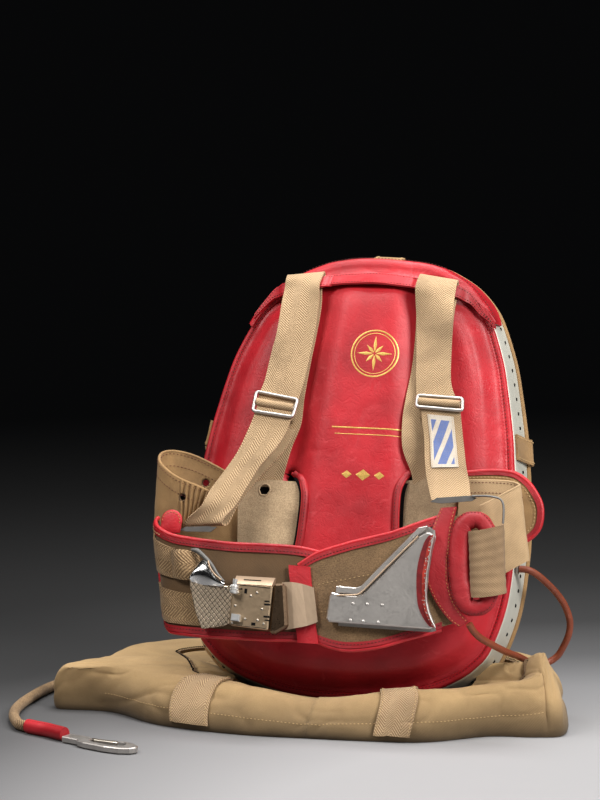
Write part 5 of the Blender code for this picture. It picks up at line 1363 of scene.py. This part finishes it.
def build_lever_details():
    """Rivets, hinge pin, raised edge and red-painted concave end of the opening lever."""
    face = LEVER_FACE
    # the base plate's free end is hollowed like the lever's
    outline = [(16.5, 126.5), (16.5, 85.5), (60, 85), (122, 85), (127, 87), (121, 99), (115.5, 113),
               (113.6, 127), (113.6, 150), (116, 175), (118.6, 188), (117, 197), (110, 201), (100, 196),
               (62, 152), (42, 129), (36, 126.5)]
    merged("lever_base_plate", [block(outline, -95.0, -93.6)], aluminium, node="lever_base")
    merged("lever_rivets", [dome((x, face, z), 1.9, 0.8) for x, z in LEVER_RIVETS], aluminium, body="lever")
    merged("lever_pin", [dome((16.5, -101.0, 127.8), 2.6, 1.8, (0, 0, 1), 14),
                         dome((95.2, -103.6, 186.5), 1.2, 0.5, (0, -1, 0), 10)], steel)
    ridge = [(14.5, face - 0.3, 118.0), (33, face - 0.3, 119.4), (42, face - 0.3, 123), (60, face - 0.3, 143),
             (84, face - 0.3, 170), (101, face - 0.3, 188.5)]
    rod("lever_ridge", smooth_rows(ridge, 6), 1.0, pale_steel, body="lever", sides=8)
    # the working end: a hollow strip of red paint with worn bare edges; the hollow's darker red is painted
    # shade and the outer strip's lighter red painted light
    inner = smooth_rows([(113.0, 190), (108, 181), (103.6, 161), (102.8, 141), (106.2, 115), (113, 100),
                         (121.5, 90)], 9)
    outer = smooth_rows([(119.5, 190.5), (117.5, 181), (115.6, 161), (114.2, 141), (116.2, 117), (121.4, 101),
                         (128.5, 89)], 9)
    for name, looks, span, out in (("lever_red_hollow", red_paint_painted_shade, (0.0, 0.62), (0.5, 0.7)),
                                   ("lever_red_edge", worn_paint_painted_light, (0.56, 1.0), (0.9, 3.4))):
        steps = np.linspace(*span, 7)[None, :, None]
        flat = inner[:, None] * (1 - steps) + outer[:, None] * steps
        grid = np.stack([flat[..., 0], face - np.linspace(*out, 7) + 0 * flat[..., 0], flat[..., 1]], -1)
        cloth(name, grid, 0.6, looks, body="lever", held=None)
    rod("lever_bare_edge", grid[:, -1], 0.8, aluminium, body="lever", sides=8)
    chips = []
    random = np.random.default_rng(5)
    for k in random.integers(2, len(grid) - 2, 80):
        spot = grid[k, random.integers(2, 7)] + (random.normal(0, 0.6), -0.35, random.normal(0, 1.2))
        chips.append(dome(spot, 0.35 + 0.6 * random.random(), 0.12, (0, -1, 0), 7))
    merged("lever_chips", chips, aluminium, body="lever")


def build_metal():
    """The rigid pieces keep their solids, with fuller metal finishes."""
    finishes = {"buckle_box": brass, "buckle_end": bronze, "buckle_tongue": pale_steel,
                "buckle_flap": knurled, "lever_flange": aluminium, "lever": aluminium,
                "strap_plate_l": dull_steel, "strap_plate_r": dull_steel, "link_r": dull_steel,
                "hose_ferrule": steel, "hook_body": aluminium, "hook_gate": steel}
    for name, look in finishes.items():
        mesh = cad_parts[name].data
        mesh.materials.clear()
        mesh.materials.append(look.material)
    rows = [(-47, -90.2, 150, -22, -91.4, 149), (-45, -90.2, 138, -20, -91.6, 138),
            (-40, -90.2, 118, -16, -92, 118), (-36, -90.2, 98, -12, -92.4, 98),
            (-33, -90.2, 82, -9, -92.6, 82), (-30, -90.2, 70, -6, -92.8, 70),
            (-29, -90.2, 64, -5, -92.8, 64)]
    cloth("keeper_leather", band_grid(rows, 10, 12), 2.4, leather, "buckle_keeper",
          relief=soft_relief(12, 0.35, 111))


# ---------------------------------------------------------------- carrying bag

# One row round the bag: foot x, y on the floor; crest x, y, z; mouth edge x, y, z; fullness
BAG_ROWS = [
    (-28, -86, -23, -58, 37, -22, -36, 31, 1.0), (50, -80, 52, -48, 48, 50, -28, 40, 1.0),
    (106, -68, 110, -42, 53, 106, -20, 44, 1.0), (164, -26, 170, -14, 55, 160, -2, 46, 0.8),
    (216, -16, 214, 4, 62, 192, 12, 52, 0.5), (244, 0, 216, 34, 84, 196, 34, 74, 0.1),
    (240, 52, 216, 64, 56, 194, 60, 47, 0.3), (222, 112, 210, 112, 46, 186, 102, 40, 0.5),
    (196, 178, 184, 172, 46, 164, 160, 40, 1.0), (128, 226, 124, 214, 46, 120, 196, 40, 1.0),
    (20, 236, 20, 224, 42, 18, 206, 36, 1.0), (-104, 226, -104, 214, 46, -100, 198, 38, 1.0),
    (-190, 204, -186, 192, 48, -178, 174, 38, 1.0), (-250, 174, -244, 164, 48, -222, 138, 42, 1.0),
    (-300, 124, -290, 118, 48, -238, 112, 42, 1.0), (-328, 66, -310, 58, 46, -224, 96, 42, 1.0),
    (-344, 10, -328, 4, 50, -210, 74, 43, 0.8), (-342, -22, -330, -26, 51, -196, 46, 44, 0.8),
    (-278, -22, -268, -18, 52, -188, 22, 45, 1.0), (-206, -68, -200, -42, 50, -176, 0, 44, 1.0),
    (-112, -88, -108, -58, 47, -104, -34, 40, 1.0)]
BAG_CENTRE = (-40.0, 66.0)


def bag_section(row, samples):
    """Points up the bag's wall at one row: out from the foot, up to the crest, in to the mouth."""
    foot, crest, mouth = np.array([*row[:2], BAG_CLOTH / 2]), np.array(row[2:5]), np.array(row[5:8])
    out = np.append(unit(foot[:2] - BAG_CENTRE), 0)
    rise, full = crest[2], row[8]
    wall = [foot, foot + out * 9 * full + (0, 0, rise * 0.42),
            crest + out * 13 * full + (0, 0, -rise * 0.08), crest]
    roll = [crest, crest - out * 7 + (0, 0, 1.5), mouth + out * 4 + (0, 0, 6), mouth]
    points = []
    for share in samples:
        a, b, c, d = wall if share <= 1 else roll
        t = share if share <= 1 else share - 1
        points.append(a * (1 - t) ** 3 + 3 * b * t * (1 - t) ** 2 + 3 * c * t * t * (1 - t) + d * t ** 3)
    return points


def bag_folds(around, up):
    """How far the bag's slack cloth stands in or out, from its row number and place up the wall."""
    length, height = around * 74, up * 34
    lie = 3.2 * noise(length, height * 0.8, 95, 121) + 1.9 * noise(length + height * 0.6, height, 38, 122)
    fine = 0.7 * noise(length - height, height * 0.8, 15, 123)
    slack = -2.6 * crease(length + 22 * noise(length, height, 50, 127), height * 1.8, 62, 124, 0.10)
    slack += -1.6 * crease(length * 0.7, height * 2.4 + 15, 33, 125, 0.13)
    return (lie + fine + slack) * ease(up / 0.25)


def bag_wall(around, samples, closed=False):
    """The bag's wall at some row numbers: its grid, its normals and how far its folds stand out."""
    wall = np.array([bag_section(row, samples) for row in at_rows(BAG_ROWS, around, closed=True)])
    folds = bag_folds(around[:, None] + 0 * samples, samples[None, :] + 0 * around[:, None])
    return wall, grid_normals(wall, closed), folds * (0.45 + 0.55 * np.clip(1.5 - samples, 0, 1)) * 0.8


def build_bag():
    """The collapsed canvas bag: a rolled wall of slack cloth round a flat base, and its two bands."""
    around = np.linspace(0, len(BAG_ROWS), 460, endpoint=False)
    samples = np.concatenate([np.linspace(0, 1, 26), np.linspace(1, 2, 18)[1:]])
    wall, normal, folds = bag_wall(around, samples, closed=True)
    moved = wall + normal * folds[..., None]
    moved[..., 2] = np.maximum(moved[..., 2], BAG_CLOTH / 2 + 0.05)
    normal = grid_normals(moved, closed=True)
    outer = moved + normal * BAG_CLOTH / 2
    inner = moved - normal * BAG_CLOTH / 2
    outer[:, 0] = moved[:, 0] * (1, 1, 0)
    inner[:, 0] = moved[:, 0] * (1, 1, 0) + (0, 0, BAG_CLOTH)
    outer[..., 2] = np.maximum(outer[..., 2], 0.02)
    inner[..., 2] = np.maximum(inner[..., 2], BAG_CLOTH)
    centre = np.array([*BAG_CENTRE, 0.0])
    top = centre + (0, 0, BAG_CLOTH)
    rings = [centre + (outer[:, 0] - centre) * share for share in (0.05, 0.6)]
    rings += [outer[:, k] for k in range(len(samples))] + [inner[:, k] for k in range(len(samples))][::-1]
    rings += [top + (inner[:, 0] - top) * share for share in (0.6, 0.05)]
    along = path_lengths(np.vstack([moved[:, 20], moved[:1, 20]]))
    up = path_lengths(np.array([ring[0] for ring in rings]))
    uv = np.stack(np.meshgrid(along[:-1], up), -1).reshape(-1, 2) * MM
    bag = ring_mesh("bag_canvas", rings, bag_canvas, uv, in_pack=False, node="bag")
    build_bag_inside(moved[:, -1], around)
    build_bag_seams(outer, inner, around, samples)
    offset = BAG_CLOTH / 2 + 2 * GAP + WEBBING / 2
    for name, node, first, last in (("bag_strap_left", "bag_band_l", 19.22, 19.7),
                                    ("bag_strap_right", "bag_band_r", 0.93, 1.6)):
        grid, lie, folds = bag_wall(np.linspace(first, last, 26), np.linspace(0.1, 1.75, 60))
        grid = (grid + lie * np.maximum(folds, -1.2)[..., None]).transpose(1, 0, 2)
        side = 1.0 if float(np.sum(grid_normals(grid)[20, 10] * lie[10, 20])) > 0 else -1.0
        cloth(name, grid, WEBBING, webbing, node, offset=offset * side, in_pack=False,
              rests_on=("bag_canvas",), relief=lambda u, v: side * (0.5 + 0.4 * noise(u, v, 20, 131)))
        edge_stitches(name + "_stitching", grid, 2.4, offset + WEBBING / 2 + 0.9, cream_thread, (side,),
                      in_pack=False, pitch=4.2)


def build_bag_inside(mouth, around):
    """The slack canvas inside the mouth: it lies in folds towards the pack at both ends of the bag."""
    reach = np.interp(around, [0, 2, 3.2, 4, 6.5, 8, 10, 12, 13, 18, 19.2, 20, 21],
                      [2, 2, 26, 58, 52, 18, 12, 30, 62, 66, 34, 3, 2])
    inward = unit(np.array(BAG_CENTRE) - mouth[:, :2])
    steps = np.linspace(0, 1, 24)
    far = path_lengths(np.vstack([mouth, mouth[:1]]))[:-1, None]
    across = reach[:, None] * steps
    grid = np.empty((len(mouth), 24, 3))
    grid[..., :2] = mouth[:, None, :2] + inward[:, None] * across[..., None]
    grid[..., 2] = mouth[:, 2:] - 1.5 - 0.10 * across + ease(steps / 0.3) * (
        3.0 * noise(far, across, 46, 141) + 2.2 * crease(far * 0.7, across * 1.6, 30, 142, 0.12))
    cloth("bag_inside", grid, BAG_CLOTH, bag_canvas, closed=True, in_pack=False, held="folded",
          rests_on=("bag_canvas",))


def build_bag_seams(outer, inner, around, samples):
    """The zip round the mouth, the welted seam under the roll and their stitching."""
    normal = grid_normals(outer, closed=True)
    up = normal[:, 8]
    front = (around > 17.9) | (around < 4.3)
    order = np.argsort((around[front] + 10) % len(BAG_ROWS))
    seam = ((outer[:, 8] + up * 0.4)[front][order], up[front][order])
    stitches("bag_seam_stitching", [seam], cream_thread, in_pack=False, pitch=4.4)
    mouth = inner[:, len(samples) - 3]
    path = np.vstack([mouth, mouth[:1]]) + (0, 0, 2.4)
    far = path_lengths(path)
    teeth = [dome([np.interp(spot, far, path[:, k]) for k in range(3)], 1.15, 0.9, (0, 0, 1), 6)
             for spot in np.arange(4, far[-1] - 4, 2.9)]
    merged("zip_teeth", teeth, black_and_painted_shade, in_pack=False)
    inward = unit(np.vstack([-normal[:, -3], -normal[:1, -3]]) * (1, 1, 0))
    tape = path[:, None] + inward[:, None] * np.linspace(-4.5, 4.5, 5)[None, :, None] - (0, 0, 1.0)
    cloth("zip_tape", tape, 0.6, dark_canvas, in_pack=False, held=None)
    pull = [(214, 6, 58), (216, 1, 54), (218, -4, 46), (219, -6, 39)]
    rod("zip_pull", smooth_rows(pull, 4), 1.8, steel, sides=8, flat=0.5, in_pack=False)


# ---------------------------------------------------------------- cords (free pieces)

# Ripcord hose in the pack's frame, from the ring strip's foot round to the rim's right side
HOSE_POINTS = [
    (161, -84.6, 97.5), (165.5, -78.5, 90), (172, -68, 84), (180, -50, 80), (187, -26, 77), (193, 0, 75),
    (199, 24, 74), (206, 48, 71), (214, 66, 70), (224, 77, 74), (234, 79, 82), (241, 76, 94),
    (246, 71, 105), (248, 66, 116), (247, 60, 126), (242, 50, 139), (234, 39, 150), (226, 28, 158),
    (216, 15, 166), (206, 7, 170.6), (195.9, 6, 171)]
# Static line on the floor, from behind the pack round the bag's left end (world frame)
LINE_POINTS = [
    (-94.5, 140.1, 110.2), (-103, 164, 100), (-108, 181, 86), (-114, 201, 70), (-121, 221, 59),
    (-130, 237, 46), (-141, 248, 29), (-155, 254, 14), (-176, 254, 7), (-204, 248, 6.3),
    (-232, 236, 6.3), (-260, 220, 6.3), (-287, 201, 6.3), (-312, 179, 6.3), (-334, 155, 6.3),
    (-353, 128, 6.3), (-368, 98, 6.3), (-378, 66, 6.3), (-383, 32, 6.3), (-384, -2, 6.3),
    (-383, -34, 6.3), (-379, -64, 6.3), (-371, -91, 6.3), (-361, -112, 6.3), (-350, -130, 6.3),
    (-337.5, -138.6, 6.8)]
SLEEVE_POINTS = [(-335.9, -139.5, 7.3), (-322, -146.3, 7.5), (-308, -152, 7.5), (-294, -160, 7.5),
                 (-283, -166, 7.5)]


def build_cords():
    """Leather-covered ripcord hose, webbing static line and its stitched sleeve."""
    route = smooth_rows(HOSE_POINTS, 6)
    hose = rod("hose_leather", route, HOSE_RADIUS, hose_leather, sides=16, node="ripcord_hose")
    route = smooth_rows(LINE_POINTS, 6)
    line = rod("static_line_webbing", route, LINE_RADIUS, coarse_webbing, sides=18, in_pack=False,
               node="static_line")
    points = smooth_rows(SLEEVE_POINTS, 8)
    rings = tube_rings(points, np.full(len(points), 7.9), 24, flat=0.9)
    sleeve = ring_mesh("sleeve_leather", rings, leather, in_pack=False, node="line_sleeve")
    runs = [(points + (0, across, 7.4), (0, 0, 1)) for across in (2.5, -2.5)]
    stitches("sleeve_stitching", runs, dark_thread, in_pack=False, pitch=3.6)


# ---------------------------------------------------------------- floor, light and camera

CAMERA_AZIMUTH, CAMERA_HEIGHT = 15.0, 7.0
CAMERA_DISTANCE = 3.2
CAMERA_LENS = 127.0
IMAGE_WIDTH, IMAGE_HEIGHT = 600, 800
FLOOR_POINT, FLOOR_PIXEL = (0.0, 0.0, 0.005), (350, 718)


def set_camera():
    """The view from the front and a little to the right, with the pack's foot at its place."""
    turn, rise = math.radians(CAMERA_AZIMUTH), math.radians(CAMERA_HEIGHT)
    back = Vector((math.sin(turn) * math.cos(rise), -math.cos(turn) * math.cos(rise), math.sin(rise)))
    right = (-back).cross(Vector((0, 0, 1))).normalized()
    up = right.cross(-back)
    scale = CAMERA_LENS / 36.0 * IMAGE_HEIGHT
    x = (FLOOR_PIXEL[0] - IMAGE_WIDTH / 2) / scale * CAMERA_DISTANCE
    y = (IMAGE_HEIGHT / 2 - FLOOR_PIXEL[1]) / scale * CAMERA_DISTANCE
    data = bpy.data.cameras.new("camera")
    data.lens = CAMERA_LENS
    data.sensor_width = 36.0
    data.sensor_fit = "AUTO"
    camera = bpy.data.objects.new("camera", data)
    bpy.context.scene.collection.objects.link(camera)
    place = Vector(FLOOR_POINT) - (right * x + up * y - back * CAMERA_DISTANCE)
    camera.matrix_world = Matrix.Translation(place) @ Matrix((right, up, back)).transposed().to_4x4()
    bpy.context.scene.camera = camera


def set_floor():
    """A floor with a painted pool of light: its colour is pale in front and fades into the dark behind and
    beside the object.
    """
    mesh = bpy.data.meshes.new("floor")
    corners = [(x, y, -0.0004) for x, y in ((-9, -9), (9, -9), (9, 9), (-9, 9))]
    mesh.from_pydata(corners, [], [(0, 1, 2, 3)])
    floor = bpy.data.objects.new("floor", mesh)
    bpy.context.scene.collection.objects.link(floor)
    look = Look("floor", "tan_canvas", (0.5, 0.5, 0.5), 0.75)
    # painted light: the floor's colour falls from pale to near black with distance from a point beside the
    # object
    moved = look.add("Mapping", {"Vector": look.where.outputs["Object"], "Location": (-0.55, 0.415, 0)})
    flat = look.add("VectorMath", {0: moved.outputs[0]}, operation="LENGTH").outputs[1]
    near = look.add("ValToRGB", {0: look.span(flat, 0.0, 2.4)})
    near.color_ramp.elements[0].position = 0.0
    near.color_ramp.elements[0].color = (0.305, 0.30, 0.305, 1)
    near.color_ramp.elements[1].position = 1.0
    near.color_ramp.elements[1].color = (0.004, 0.004, 0.004, 1)
    for share, level in ((0.23, 0.305), (0.31, 0.21), (0.385, 0.085), (0.47, 0.026), (0.62, 0.010)):
        step = near.color_ramp.elements.new(share)
        step.color = (level, level * 0.99, level * 1.01, 1)
    look.set("Base Color", near.outputs[0])
    look.bumps((look.noise(400.0, 2.0), 0.05, 0.0002))
    gone = look.add("BsdfTransparent").outputs[0]
    faded = look.add("MixShader", {0: look.span(flat, 1.3, 3.4), 1: look.shader.outputs[0], 2: gone})
    output = next(node for node in look.tree.nodes if node.type == "OUTPUT_MATERIAL")
    look.tree.links.new(faded.outputs[0], output.inputs["Surface"])
    mesh.materials.append(look.material)


def area_light(name, place, target, size, power, colour=(1, 1, 1)):
    """A soft rectangular light that faces a target point."""
    data = bpy.data.lights.new(name, "AREA")
    data.shape = "RECTANGLE"
    data.size, data.size_y = size
    data.energy = power
    data.color = colour
    light = bpy.data.objects.new(name, data)
    bpy.context.scene.collection.objects.link(light)
    light.location = place
    light.rotation_euler = (Vector(target) - Vector(place)).to_track_quat("-Z", "Y").to_euler()


def set_light():
    """A faint world and four soft lights."""
    world = bpy.data.worlds.new("world")
    bpy.context.scene.world = world
    world.use_nodes = True
    world.node_tree.nodes["Background"].inputs[0].default_value = (0.9, 0.93, 1.0, 1)
    world.node_tree.nodes["Background"].inputs[1].default_value = 0.0024
    area_light("key", (-1.35, -1.2, 2.25), (0, 0, 0.25), (1.0, 1.1), 50, (1.0, 0.97, 0.94))
    area_light("right", (1.6, -0.75, 1.65), (0, 0, 0.22), (0.8, 1.0), 60, (1.0, 0.98, 0.96))
    area_light("top", (0.0, 0.35, 2.4), (0, 0, 0.2), (1.4, 0.8), 56)
    area_light("front", (0.9, -2.6, 1.0), (0, 0, 0.25), (1.0, 1.0), 3)
    bpy.context.scene.view_settings.view_transform = "Standard"


def main():
    """Sets the stage, then builds every piece."""
    for build in (set_camera, set_light, set_floor, build_cords, build_front, build_slot_piping,
                  build_ornament, build_rim, build_back, build_yoke, build_yoke_band, build_top_tab,
                  build_back_band, build_straps, build_slides, build_label, build_belt, build_wings,
                  build_wraps, build_round_tab, build_ring, build_metal, build_buckle_details,
                  build_lever_details, build_bag):
        build()


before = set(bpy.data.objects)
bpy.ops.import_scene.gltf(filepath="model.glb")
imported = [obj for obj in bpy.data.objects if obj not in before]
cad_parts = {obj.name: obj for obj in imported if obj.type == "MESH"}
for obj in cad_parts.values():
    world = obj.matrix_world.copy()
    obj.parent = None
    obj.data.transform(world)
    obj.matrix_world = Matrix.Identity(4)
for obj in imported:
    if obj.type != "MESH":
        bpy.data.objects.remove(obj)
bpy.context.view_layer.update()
main()
